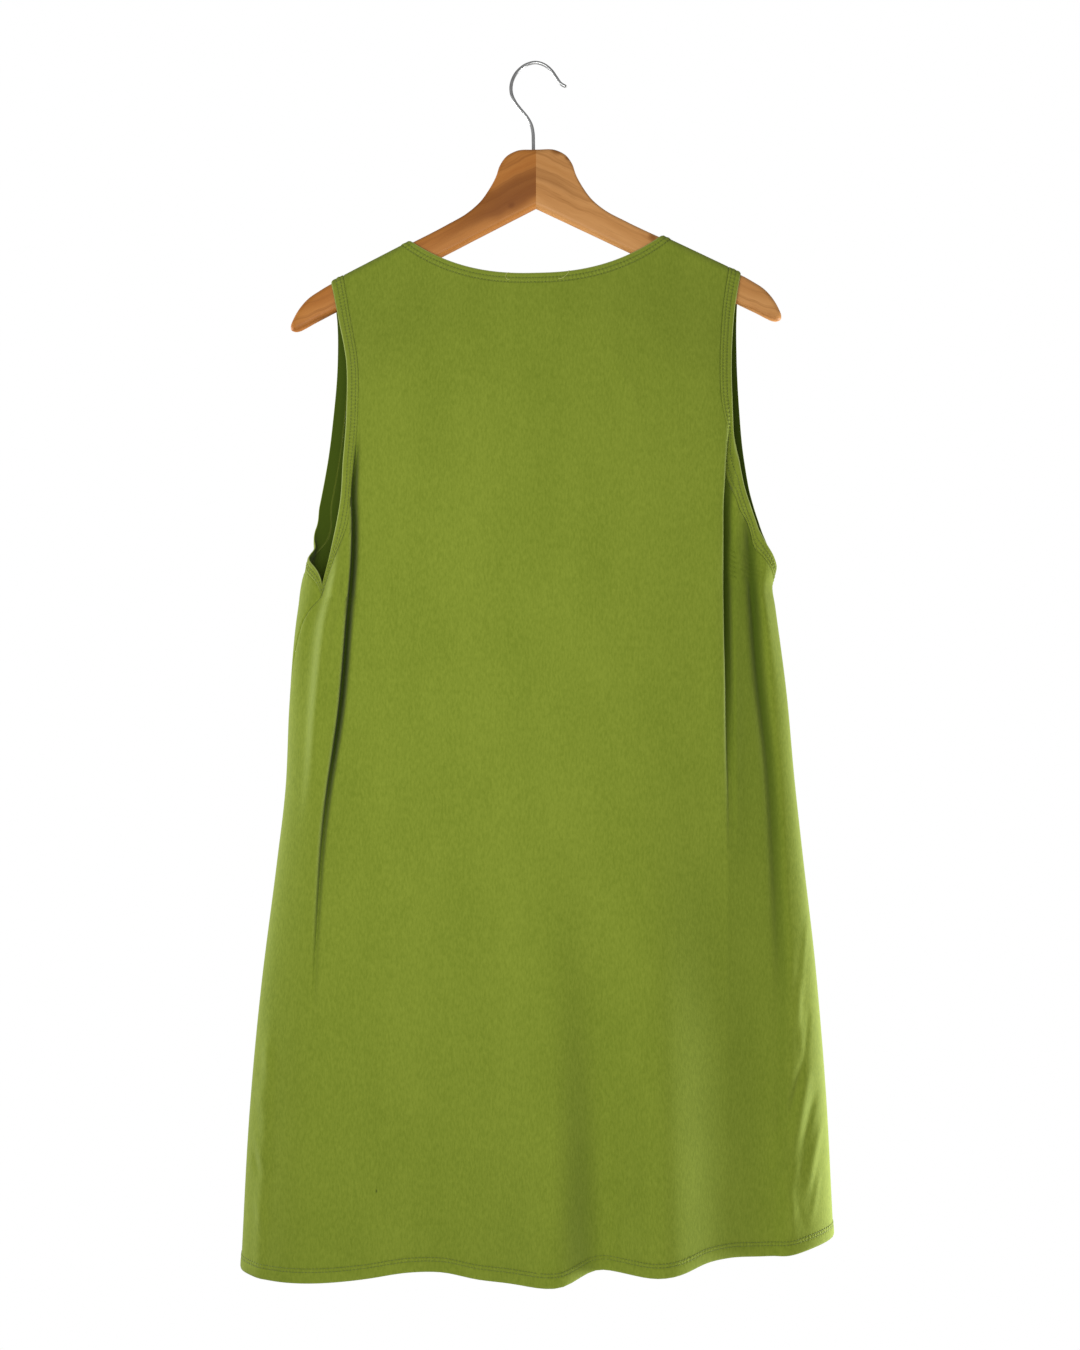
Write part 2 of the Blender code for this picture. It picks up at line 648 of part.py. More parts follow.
def make_hook(finish):
    """The wire hook, seated on the wood, as a round wire along its route."""
    route = smooth_route(HOOK_ROUTE, HOOK_POINTS)
    curve = bpy.data.curves.new("hook", "CURVE")
    curve.dimensions = "3D"
    curve.bevel_depth = WIRE_RADIUS * MM
    curve.bevel_resolution = 2
    curve.use_fill_caps = True
    spline = curve.splines.new("POLY")
    spline.points.add(len(route) - 1)
    for point, (x, z) in zip(spline.points, route):
        point.co = (x * MM, 0.0, z * MM, 1.0)
    curve.materials.append(finish)
    made = bpy.data.objects.new("hook", curve)
    bpy.context.scene.collection.objects.link(made)
    return made


clear_scene()
jersey = material("olive_jersey")
wood = material("varnished_wood")
wire = material("plated_wire", metallic=1.0)
make_panel("back_panel", False, jersey)
make_panel("front_panel", True, jersey)
make_neck_binding(jersey)
make_armhole_binding("left", jersey)
make_armhole_binding("right", jersey)
make_arm("left", wood)
make_arm("right", wood)
make_hook(wire)
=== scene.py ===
"""Looks of an olive cotton jersey mini dress that hangs, back outwards, on a varnished hanger.

Lengths are in millimetres and become metres where a mesh is made. The origin is the inside top
of the hook. Left and right are the wearer's, so the left side is at -X and the back faces -Y.
"""

import math

import bpy
import numpy as np
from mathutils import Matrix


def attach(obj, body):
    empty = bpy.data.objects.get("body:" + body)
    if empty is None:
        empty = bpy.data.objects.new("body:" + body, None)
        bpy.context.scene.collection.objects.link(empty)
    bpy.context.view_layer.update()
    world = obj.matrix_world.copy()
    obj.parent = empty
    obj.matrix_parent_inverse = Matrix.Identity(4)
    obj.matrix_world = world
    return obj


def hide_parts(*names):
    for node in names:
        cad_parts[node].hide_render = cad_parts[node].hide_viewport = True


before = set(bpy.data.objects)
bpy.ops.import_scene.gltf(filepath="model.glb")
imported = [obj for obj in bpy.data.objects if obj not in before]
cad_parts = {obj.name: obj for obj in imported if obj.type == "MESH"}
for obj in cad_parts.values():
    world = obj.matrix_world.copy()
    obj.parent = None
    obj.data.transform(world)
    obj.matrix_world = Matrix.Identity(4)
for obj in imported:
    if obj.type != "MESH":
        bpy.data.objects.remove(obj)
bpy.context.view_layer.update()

# The hanger's two arms: planks about 12 mm thick, sawn to a contour, glued in a mitre at the
# middle, their long edges rounded over and the whole dipped in clear varnish. They sweep a little
# forwards, and the hanger hangs slightly tilted, its right end up.
MM = 0.001
LEAST_LENGTH = 1e-6
TILT = 0.0218
ARM_HALF_THICK = 6.0
ARM_EDGE_RADIUS = 5.4
ARM_SWEEP_SLOPE = 0.085
ARM_SWEEP_BOW = 6.0
ARM_REACH = 224.0
ARM_SLOPE = 0.462
ARM_TOP_X = 80.0
ARM_TOP_Z = -140.9
GRAIN_CENTRE_Z = -104.0
ARM_STATIONS = 150
ARM_CORNER_STEPS = 9
# How much closer the stations stand towards the tip, the corners' largest share of the height and
# of the thickness, the tip's least closing, and the angle from which an edge stays sharp.
ARM_TIP_CROWDING = 1.25
ARM_RADIUS_SHARE = 0.45
ARM_BEVEL_SHARE = 0.92
ARM_LEAST_CLOSING = 0.02
ARM_SHARP_DEGREES = 50.0
# Columns: x and z on the upper edge, then x and z on the lower edge, from the mitre to the tip.
ARM_SECTIONS = np.array((
    (0.0, -77.2, 0.0, -130.1),
    (17.6, -77.6, 6.0, -132.9),
    (26.6, -82.0, 13.0, -136.2),
    (32.5, -89.8, 21.0, -139.9),
    (36.0, -99.7, 31.0, -144.6),
    (41.9, -110.5, 42.5, -150.0),
    (49.8, -121.3, 55.0, -155.8),
    (62.0, -131.4, 68.5, -162.2),
    (80.0, -140.9, 85.0, -169.9),
    (120.0, -159.4, 121.0, -186.7),
    (160.0, -177.9, 158.0, -204.0),
    (196.0, -194.6, 192.0, -219.9),
    (208.5, -202.6, 203.0, -225.1),
    (216.6, -211.6, 210.5, -228.9),
    (221.8, -220.6, 216.5, -231.2),
    (223.9, -227.0, 220.9, -231.0),
    (223.8, -229.4, 223.0, -230.2),
))


def linear(hex_colour):
    """An sRGB hex colour as linear red, green, blue and an alpha of one."""
    parts = [int(hex_colour[place:place + 2], 16) / 255.0 for place in (1, 3, 5)]
    light = [c / 12.92 if c <= 0.04045 else ((c + 0.055) / 1.055) ** 2.4 for c in parts]
    return (*light, 1.0)


def add_node(tree, kind, inputs=None, **settings):
    """Adds one shader node: settings are its properties, inputs its values or incoming sockets."""
    made = tree.nodes.new("ShaderNode" + kind)
    for name, value in settings.items():
        setattr(made, name, value)
    for name, value in (inputs or {}).items():
        if isinstance(value, bpy.types.NodeSocket):
            tree.links.new(value, made.inputs[name])
        else:
            made.inputs[name].default_value = value
    return made


def new_finish(name, **shader_values):
    """A material and its Principled shader with values set on the shader's own sockets."""
    made = bpy.data.materials.new(name)
    made.use_nodes = True
    shader = made.node_tree.nodes["Principled BSDF"]
    for socket, value in shader_values.items():
        shader.inputs[socket.replace("_", " ")].default_value = value
    return made, made.node_tree, shader


def smooth(share):
    """Ease from 0 to 1: three times the square less twice the cube, flat outside 0 to 1."""
    share = np.clip(share, 0.0, 1.0)
    return share * share * (3.0 - 2.0 * share)


def tilted(points):
    """The hanger's tilt, carried by the whole garment as a rise in step with x."""
    lifted = points.copy()
    lifted[..., 2] += TILT * points[..., 0]
    return lifted


def unit(vectors):
    """The same directions at a length of one, with a guard for a length of nothing."""
    return vectors / np.maximum(np.linalg.norm(vectors, axis=-1, keepdims=True), LEAST_LENGTH)


def mesh_piece(name, points, faces, finish, vectors=None):
    """A smooth-shaded mesh of quads from points in millimetres, with named vector attributes."""
    mesh = bpy.data.meshes.new(name)
    count = len(faces)
    mesh.vertices.add(len(points))
    mesh.loops.add(count * 4)
    mesh.polygons.add(count)
    mesh.vertices.foreach_set("co", (points * MM).astype(np.float32).ravel())
    mesh.loops.foreach_set("vertex_index", faces.astype(np.int32).ravel())
    mesh.polygons.foreach_set("loop_start", np.arange(0, count * 4, 4, dtype=np.int32))
    mesh.update(calc_edges=True)
    for title, values in (vectors or {}).items():
        held = mesh.attributes.new(title, "FLOAT_VECTOR", "POINT")
        held.data.foreach_set("vector", values.astype(np.float32).ravel())
    mesh.shade_smooth()
    mesh.materials.append(finish)
    made = bpy.data.objects.new(name, mesh)
    bpy.context.scene.collection.objects.link(made)
    return made


def ring_faces(stations, around, closed):
    """Quads between closed cross-sections, each joined to the next and, in a loop, to the first."""
    station = np.arange(stations if closed else stations - 1)
    station, place = np.meshgrid(station, np.arange(around), indexing="ij")
    after = (station + 1) % stations
    beside = (place + 1) % around
    quads = np.stack((
        station * around + place,
        station * around + beside,
        after * around + beside,
        after * around + place,
    ), axis=-1)
    return quads.reshape(-1, 4)


def cap_faces(around, first, flip):
    """Quads that close a ring of an even count: a strip of quads from side to side across it."""
    half = around // 2
    low = np.arange(half - 1)
    quads = first + np.stack((low, low + 1, around - 2 - low, around - 1 - low), axis=-1)
    return quads[:, ::-1] if flip else quads


def smooth_route(table, wanted_shares):
    """A smooth curve through a table's points, read at shares of its chord length."""
    chord = np.linalg.norm(np.diff(table[:, :2], axis=0), axis=1)
    run = np.concatenate(((0.0,), np.cumsum(chord)))
    wanted = wanted_shares * run[-1]
    slopes = np.gradient(table, run, axis=0)
    row = np.clip(np.searchsorted(run, wanted) - 1, 0, len(run) - 2)
    step = (run[row + 1] - run[row])[:, None]
    share = (wanted[:, None] - run[row][:, None]) / step
    start = table[row] + slopes[row] * step * share * (1.0 - share) ** 2
    rise = (table[row + 1] - table[row]) * smooth(share)
    return start + rise + slopes[row + 1] * step * share ** 2 * (share - 1.0)


def arm_sweep(x):
    """How far the arm's middle has swept forwards at a distance x from the mitre."""
    reach = np.abs(x)
    return ARM_SWEEP_SLOPE * reach + ARM_SWEEP_BOW * (reach / ARM_REACH) ** 2


def varnished_wood(name, pale, brown, dark, heart, knots):
    """Varnished hanger wood. Its grain runs along the arm: broad streaks, growth lines 3 to 6 mm
    apart, fine dark pores, a dark heartwood band near the mitre and a few small knots. The varnish
    is thin and satin, so the colour looks deep and the edges catch only soft highlights."""
    made, tree, shader = new_finish(
        name, Roughness=0.5, Coat_Weight=0.05, Coat_Roughness=0.35, IOR=1.5,
        Specular_IOR_Level=0.3,
    )
    grain = add_node(tree, "Attribute", attribute_name="grain").outputs["Vector"]
    warp = add_node(tree, "TexNoise", {"Vector": grain, "Scale": 26.0, "Detail": 2.0})
    shift = add_node(tree, "VectorMath", {
        0: warp.outputs["Color"], 1: (0.0, 0.012, 0.004)}, operation="MULTIPLY")
    bent = add_node(tree, "VectorMath", {0: grain, 1: shift.outputs[0]}, operation="ADD")
    broad_at = add_node(tree, "Mapping", {"Vector": bent.outputs[0], "Scale": (7.0, 85.0, 60.0)})
    broad = add_node(tree, "TexNoise", {
        "Vector": broad_at.outputs[0], "Scale": 1.0, "Detail": 3.0, "Roughness": 0.55})
    rings_at = add_node(tree, "Mapping", {"Vector": bent.outputs[0], "Scale": (4.0, 240.0, 90.0)})
    rings = add_node(tree, "TexNoise", {
        "Vector": rings_at.outputs[0], "Scale": 1.0, "Detail": 2.0, "Distortion": 0.4})
    fine_at = add_node(tree, "Mapping", {"Vector": grain, "Scale": (45.0, 1300.0, 900.0)})
    fine = add_node(tree, "TexNoise", {"Vector": fine_at.outputs[0], "Scale": 1.0, "Detail": 2.0})
    streak = add_node(tree, "MapRange", {
        "Value": broad.outputs[0], "From Min": 0.36, "From Max": 0.66})
    base = add_node(tree, "Mix", {
        0: streak.outputs[0], 6: linear(pale), 7: linear(brown)}, data_type="RGBA")
    line = add_node(tree, "MapRange", {
        "Value": rings.outputs[0], "From Min": 0.50, "From Max": 0.72, "To Max": 0.55})
    lined = add_node(tree, "Mix", {
        0: line.outputs[0], 6: base.outputs[2], 7: linear(dark)}, data_type="RGBA")
    place, half, fade, strength = heart
    axes = add_node(tree, "SeparateXYZ", {0: bent.outputs[0]})
    off = add_node(tree, "Math", {0: axes.outputs[1], 1: place}, operation="SUBTRACT")
    off = add_node(tree, "Math", {0: off.outputs[0]}, operation="ABSOLUTE")
    band = add_node(tree, "MapRange", {
        "Value": off.outputs[0], "From Min": half, "From Max": half * 0.45,
        "To Max": strength}, interpolation_type="SMOOTHSTEP")
    ended = add_node(tree, "MapRange", {
        "Value": axes.outputs[0], "From Min": fade, "From Max": fade * 0.25},
        interpolation_type="SMOOTHSTEP")
    band = add_node(tree, "Math", {0: band.outputs[0], 1: ended.outputs[0]}, operation="MULTIPLY")
    colour = add_node(tree, "Mix", {
        0: band.outputs[0], 6: lined.outputs[2], 7: linear(dark)}, data_type="RGBA")
    for along, across, size in knots:
        away = add_node(tree, "VectorMath", {
            0: grain, 1: (along, across, 0.0)}, operation="SUBTRACT")
        flat = add_node(tree, "VectorMath", {
            0: away.outputs[0], 1: (0.75, 1.0, 0.2)}, operation="MULTIPLY")
        far = add_node(tree, "VectorMath", {0: flat.outputs[0]}, operation="LENGTH")
        knot = add_node(tree, "MapRange", {
            "Value": far.outputs["Value"], "From Min": size, "From Max": size * 0.2,
            "To Max": 0.8}, interpolation_type="SMOOTHSTEP")
        colour = add_node(tree, "Mix", {
            0: knot.outputs[0], 6: colour.outputs[2], 7: linear(dark)}, data_type="RGBA")
    pore = add_node(tree, "MapRange", {
        "Value": fine.outputs[0], "From Min": 0.60, "From Max": 0.75, "To Max": 0.35})
    colour = add_node(tree, "Mix", {
        0: pore.outputs[0], 6: colour.outputs[2], 7: linear(dark)}, data_type="RGBA")
    tree.links.new(colour.outputs[2], shader.inputs["Base Color"])
    relief = add_node(tree, "Bump", {
        "Height": fine.outputs[0], "Strength": 0.12, "Distance": 0.0003}, invert=True)
    tree.links.new(relief.outputs[0], shader.inputs["Normal"])
    return made


def make_arm(side, finish):
    """One arm: rounded rectangles carried from the mitre to the tip, each spanning from the lower
    edge to the upper one, with rounded corners, moved forwards by the sweep."""
    sign = -1.0 if side == "left" else 1.0
    shares = np.linspace(0.0, 1.0, ARM_STATIONS)
    shares = 1.0 - (1.0 - shares) ** ARM_TIP_CROWDING
    both = smooth_route(ARM_SECTIONS, shares)
    top = both[:, :2]
    low = both[:, 2:]
    high = np.linalg.norm(top - low, axis=1)
    radius = np.minimum(ARM_EDGE_RADIUS, high * ARM_RADIUS_SHARE)
    closing = np.sqrt(np.clip(high / (2.0 * ARM_EDGE_RADIUS), ARM_LEAST_CLOSING, 1.0))
    half_thick = ARM_HALF_THICK * closing
    bevel = np.minimum(radius, half_thick * ARM_BEVEL_SHARE)
    rings = []
    for corner, (up, out) in enumerate(((1, 1), (-1, 1), (-1, -1), (1, -1))):
        for step in range(ARM_CORNER_STEPS):
            turn = math.pi * 0.5 * (corner + step / (ARM_CORNER_STEPS - 1))
            along = up * (high * 0.5 - radius) + radius * math.cos(turn)
            beside = out * (half_thick - bevel) + bevel * math.sin(turn)
            rings.append(np.stack((along, beside), axis=1))
    shape = np.stack(rings, axis=1)
    middle = (top + low) * 0.5
    direction = (top - low) / high[:, None]
    place = middle[:, None, :] + direction[:, None, :] * shape[..., :1]
    y = arm_sweep(place[..., 0]) + shape[..., 1]
    rings = np.stack((sign * place[..., 0], y, place[..., 1]), axis=-1)
    cosine = 1.0 / math.hypot(1.0, ARM_SLOPE)
    sine = ARM_SLOPE * cosine
    below = place[..., 1] - GRAIN_CENTRE_Z
    grain = np.stack((
        place[..., 0] * cosine - below * sine,
        place[..., 0] * sine + below * cosine,
        shape[..., 1],
    ), axis=-1)
    if side == "right":
        rings = rings[:, ::-1]
        grain = grain[:, ::-1]
    stations, around = rings.shape[:2]
    faces = np.concatenate((
        ring_faces(stations, around, False),
        cap_faces(around, 0, True),
        cap_faces(around, (stations - 1) * around, False),
    ))
    made = mesh_piece("arm_" + side, tilted(rings.reshape(-1, 3)), faces, finish, {
        "grain": grain.reshape(-1, 3) * MM})
    made.data.set_sharp_from_angle(angle=math.radians(ARM_SHARP_DEGREES))
    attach(made, "root")
    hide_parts("hanger_arm_" + side)
    return made


left_wood = varnished_wood(
    "varnished_beech_left", "#d38b40", "#bd742c", "#86480a",
    heart=(0.003, 0.017, 0.140, 0.74), knots=((0.030, -0.012, 0.004),))
right_wood = varnished_wood(
    "varnished_beech_right", "#e8a864", "#d2914e", "#96591a",
    heart=(0.010, 0.008, 0.060, 0.35),
    knots=((0.006, 0.030, 0.006), (0.018, 0.028, 0.003), (0.118, -0.004, 0.005)))
arm_left = make_arm("left", left_wood)
arm_right = make_arm("right", right_wood)

# The hook: one length of 3 mm steel wire, zinc plated, screwed into the top of the mitre and bent
# over the rail, its tip kicked outwards and its cut end dressed round.
WIRE_RADIUS = 1.5
HOOK_POINTS = 260
HOOK_SIDES = 20
# The share of the wire over which its cut end is dressed round, and the end's least closing.
HOOK_END_SHARE = 1.0 / 60.0
HOOK_LEAST_CLOSING = 0.06
# The wire's middle from its seat in the wood up, over the rail and down to its tip, as x and z.
HOOK_ROUTE = np.array((
    (-2.3, -80.5),
    (-2.3, -76.9),
    (-2.4, -70.0),
    (-2.7, -62.0),
    (-4.3, -54.6),
    (-8.2, -47.6),
    (-13.5, -41.2),
    (-18.9, -34.0),
    (-22.0, -26.8),
    (-22.4, -19.6),
    (-20.0, -11.6),
    (-15.0, -4.9),
    (-8.2, -0.3),
    (0.0, 1.5),
    (7.6, -0.7),
    (13.4, -5.3),
    (18.4, -12.2),
    (22.2, -17.4),
    (27.6, -20.6),
))


def plated_wire():
    """Bright zinc plating on drawn steel wire: a cool grey metal, a little cloudy both in its tone
    and in how dull it is."""
    made, tree, shader = new_finish("zinc_plated_steel_wire", Metallic=1.0)
    place = add_node(tree, "TexCoord").outputs["Object"]
    cloud = add_node(tree, "TexNoise", {"Vector": place, "Scale": 160.0, "Detail": 3.0})
    tone = add_node(tree, "Mix", {
        0: cloud.outputs[0], 6: linear("#a9a9a8"), 7: linear("#dedfde")}, data_type="RGBA")
    tree.links.new(tone.outputs[2], shader.inputs["Base Color"])
    dull = add_node(tree, "MapRange", {
        "Value": cloud.outputs[0], "To Min": 0.22, "To Max": 0.42})
    tree.links.new(dull.outputs[0], shader.inputs["Roughness"])
    return made


def round_wire(name, route, radius, sides, finish):
    """A round wire or thread: circles set square to a route, whose radius may change along it,
    closed at both ends. The first side of each circle leans towards -Y."""
    ahead = unit(np.gradient(route, axis=0))
    towards = np.broadcast_to((0.0, -1.0, 0.0), ahead.shape)
    across = unit(np.cross(ahead, towards))
    towards = np.cross(across, ahead)
    turn = np.linspace(0.0, 2.0 * math.pi, sides, endpoint=False)
    circle = np.cos(turn)[:, None] * towards[:, None] + np.sin(turn)[:, None] * across[:, None]
    rings = route[:, None] + circle * np.reshape(radius, (-1, 1, 1))
    faces = np.concatenate((
        ring_faces(len(route), sides, False),
        cap_faces(sides, 0, True),
        cap_faces(sides, (len(route) - 1) * sides, False),
    ))
    return mesh_piece(name, rings.reshape(-1, 3), faces, finish)


hook_shares = np.linspace(0.0, 1.0, HOOK_POINTS)
hook_line = smooth_route(HOOK_ROUTE, hook_shares)
hook_points = np.stack((hook_line[:, 0], np.zeros(HOOK_POINTS), hook_line[:, 1]), axis=1)
hook_end = np.clip((1.0 - hook_shares) / HOOK_END_SHARE, HOOK_LEAST_CLOSING, 1.0)
hook_radius = WIRE_RADIUS * np.sqrt(1.0 - (1.0 - hook_end) ** 2)
hook = round_wire("hook_wire", hook_points, hook_radius, HOOK_SIDES, plated_wire())
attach(hook, "root")
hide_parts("hook")

# The back: one panel of light cotton jersey, cut on the straight grain and flared to the hem. It
# hangs from the shoulder seams over the arms, falls into folds below the armholes where there is
# more cloth than width, and ends in soft waves at a turned, twin-needle hem.
HEM_Z = -1074.0
UNDERARM_Z = -466.0
SHOULDER_TIP_Z = -188.2
NECK_HALF = 114.0
BACK_NECK_DROP = 35.0
FRONT_NECK_DROP = 104.0
BACK_NECK_CURVE = 2.35
FRONT_NECK_CURVE = 2.1
WALL = 1.2
HEM_WALL = 1.9
HEM_TURN = 13.0
NECK_BAND = 9.0
ARMHOLE_BAND = 10.0
SEAM_HALF_GAP = 0.03
SEAM_PINCH = 0.55
CLOTH_LIFT = 1.5
CLOTH_SIDE = 1.5
ARCH_HEIGHT = 7.5
SHOULDER_BLEND = 125.0
FOLD_FADE = 130.0
SILHOUETTE_CALM = 14
HEM_EASE_Z = -850.0
BAND_TURN_SHARE = 0.28
BAND_TOP_SHARE = 0.25
NECK_CURVE_STEPS = 400
NECK_LEAN_POWER = 1.5
ANGLE_PROBE = 0.1
LEVEL_PROBE = 0.4
BODY_ROWS = 142
ROW_CROWDING = 1.35
PUCKER_PITCH = 3.4
FLECK_PLACE = (-0.1405, -0.045, -1.0045)
# Heights of the panel's rows in the hem, closer at its foot and at the two rows of stitches.
HEM_HEIGHTS = np.array((
    0.0, 0.7, 2.0, 4.0, 6.4, 8.0, 8.9, 9.6, 10.3, 11.2, 12.0, 12.7, 13.4, 14.2, 15.4))
HEM_STITCH_ROWS = (9.6, 12.7)
STITCH_DIP = 0.55
STITCH_DIP_WIDTH = 0.8
# Where above the turn the hem's thickness eases to the panel's and over what height, and how much
# and over what height its folded foot thins.
HEM_EASE_ABOVE = 1.6
HEM_EASE_OVER = 2.4
HEM_FOOT_THINS = 0.35
HEM_FOOT_HEIGHT = 0.9
YOKE_ROWS = 90
SHOULDER_COLUMNS = 36
NECK_COLUMNS = 128
NECK_COLUMNS_EASED = 0.65
# How the back's columns crowd towards its pleats: how much closer, over how many degrees, how far
# right of the crest, over which share of the rows this fades at the top, and the solving steps.
CROWD_GAIN = 5.0
CROWD_WIDTH = 2.2
CROWD_OFF = 2.8
CROWD_FADE = 0.25
CROWD_STEPS = 26
# One row for each level of the garment's rounded section, top to bottom.
SECTION_COLUMNS = ("z", "centre", "half_width", "middle", "lean", "back", "front", "square")
SECTIONS = np.array((
    (-150.0, 0.0, 213.0, 10.0, 0.0, 18.0, 18.0, 2.5),
    (-215.0, 0.0, 213.0, 10.0, 0.0, 22.0, 22.0, 2.5),
    (-300.0, 1.0, 213.0, 10.0, 1.0, 27.0, 28.0, 2.5),
    (-380.0, 2.5, 214.0, 10.0, 2.0, 32.0, 33.0, 2.5),
    (-455.0, 3.4, 214.2, 11.0, 3.0, 36.0, 37.0, 2.6),
    (-474.0, 0.6, 212.8, 11.0, 3.2, 36.5, 37.5, 2.65),
    (-492.0, 0.5, 215.4, 11.0, 3.5, 37.0, 38.0, 2.7),
    (-570.0, 2.4, 224.0, 12.0, 4.5, 39.0, 41.0, 2.9),
    (-650.0, 4.4, 229.7, 13.0, 6.0, 41.0, 44.0, 3.1),
    (-716.0, 4.2, 237.2, 13.0, 7.0, 42.0, 46.0, 3.3),
    (-824.0, 3.8, 250.5, 14.0, 8.5, 44.0, 49.0, 3.6),
    (-932.0, 3.8, 260.6, 15.0, 10.5, 46.0, 52.0, 3.9),
    (-1080.0, 3.9, 268.8, 15.0, 12.0, 48.0, 55.0, 4.2),
))
# How far the hem hangs below its level on the back and on the front, by place across.
HEM_COLUMNS = ("x", "back", "front")
HEM_DROPS = np.array((
    (-275.0, 2.0, 2.0),
    (-245.0, 4.8, 1.6),
    (-203.0, 5.1, 2.0),
    (-150.0, 4.0, 5.0),
    (-112.0, 0.8, 5.4),
    (-84.0, 1.2, 2.4),
    (-50.0, 7.0, 0.8),
    (-16.0, 7.3, 4.0),
    (22.0, 7.3, 3.6),
    (48.0, 3.2, 0.8),
    (75.0, 4.6, 0.2),
    (104.0, 5.0, 4.0),
    (128.0, 3.4, 5.0),
    (150.0, -0.4, 3.0),
    (172.0, -0.2, 0.6),
    (205.0, 3.0, 0.0),
    (228.0, 2.6, 1.0),
    (250.0, -1.0, -1.0),
    (275.0, -4.5, -4.5),
))
# The armhole's edge from the underarm to the shoulder tip: its height, and degrees round from the
# middle of the back or of the front on each side.
ARMHOLE_COLUMNS = ("z", "back_left", "back_right", "front_left", "front_right")
ARMHOLE = np.array((
    (-466.0, 64.6, 92.0, 115.4, 88.0),
    (-460.0, 64.0, 89.4, 114.4, 86.0),
    (-448.0, 62.4, 79.0, 109.0, 79.4),
    (-436.0, 60.8, 70.8, 95.5, 74.2),
    (-425.0, 59.4, 66.6, 81.0, 70.6),
    (-412.0, 57.8, 64.0, 72.8, 67.9),
    (-392.0, 55.8, 60.4, 69.2, 64.9),
    (-355.0, 54.6, 56.8, 64.4, 61.6),
    (-310.0, 53.2, 55.2, 60.9, 60.0),
    (-260.0, 53.6, 55.6, 58.6, 59.2),
    (-225.0, 57.0, 57.4, 58.6, 59.4),
    (-190.0, 60.6, 60.6, 60.9, 60.9),
))
# Degrees that the side seam stands round from the section's widest point, by level.
SEAM_COLUMNS = ("z", "left", "right")
SEAMS = np.array((
    (-460.0, 25.4, 2.0),
    (-476.0, 25.4, 2.0),
    (-484.0, 20.4, 2.2),
    (-496.0, 15.0, 2.8),
    (-512.0, 11.0, 3.4),
    (-542.0, 5.0, 4.0),
    (-640.0, 0.0, 4.0),
    (-1080.0, -2.0, 4.0),
))
# How far the left side is drawn in beside the foot of its armhole, by level, and over how many
# degrees either side of a place a little in front of the section's widest point.
TUCK_COLUMNS = ("z", "left")
TUCKS = np.array((
    (-380.0, 0.0),
    (-400.0, 0.6),
    (-412.0, 4.0),
    (-425.0, 10.0),
    (-436.0, 9.6),
    (-448.0, 4.6),
    (-457.0, 1.4),
    (-466.0, 0.0),
    (-490.0, 0.0),
))
TUCK_PLACE = -2.0
TUCK_WIDTH = 12.0
# How far the right side seam swings forwards below the hips, by level, and the share of the half
# width from which the cloth turns towards it.
SWING_COLUMNS = ("z", "forwards")
SWINGS = np.array((
    (-740.0, 0.0),
    (-800.0, 1.0),
    (-870.0, 5.0),
    (-950.0, 8.5),
    (-1010.0, 10.0),
    (-1085.0, 10.0),
))
SWING_FROM = 0.80
SWING_OVER = 0.20
# Folds and hem waves: the levels where each starts, bends and ends, its place across as a share
# of the half width there, its height outwards, how far its crest leans aside, how wide it is
# towards the left and the right, and over what length it grows in below its start.
FOLD_COLUMNS = (
    "z_top", "z_bend", "z_end", "s_top", "s_bend", "s_end", "height", "aside", "left", "right",
    "rise",
)
BACK_FOLDS = (
    (-425.0, -500.0, -690.0, -0.823, -0.868, -0.905, 10.0, 1.0, 4.6, 8.0, 45.0),
    (-440.0, -505.0, -600.0, -0.875, -0.925, -0.940, -4.0, 0.0, 8.0, 6.0, 40.0),
    (-400.0, -470.0, -560.0, -0.800, -0.815, -0.820, -1.6, 0.0, 6.0, 6.0, 60.0),
    (-350.0, -520.0, -760.0, 0.845, 0.830, 0.800, -4.5, 0.0, 17.0, 26.0, 90.0),
    (-450.0, -505.0, -620.0, 0.925, 0.955, 0.965, 7.0, 0.0, 6.0, 8.0, 30.0),
    (-600.0, -950.0, -1400.0, -0.75, -0.78, -0.80, 7.0, 0.0, 45.0, 45.0, 400.0),
    (-560.0, -950.0, -1400.0, -0.36, -0.385, -0.40, -8.0, 0.0, 60.0, 55.0, 400.0),
    (-640.0, -1000.0, -1400.0, 0.02, 0.045, 0.05, 27.0, 0.0, 42.0, 26.0, 440.0),
    (-760.0, -1000.0, -1400.0, 0.18, 0.200, 0.21, -8.0, 0.0, 20.0, 24.0, 300.0),
    (-600.0, -1000.0, -1400.0, 0.40, 0.410, 0.40, 22.0, 0.0, 32.0, 36.0, 440.0),
    (-500.0, -900.0, -1400.0, 0.70, 0.720, 0.70, -13.0, 0.0, 50.0, 44.0, 400.0),
    (-720.0, -900.0, -1400.0, 0.850, 0.826, 0.693, -4.5, 0.0, 28.0, 9.0, 150.0),
)
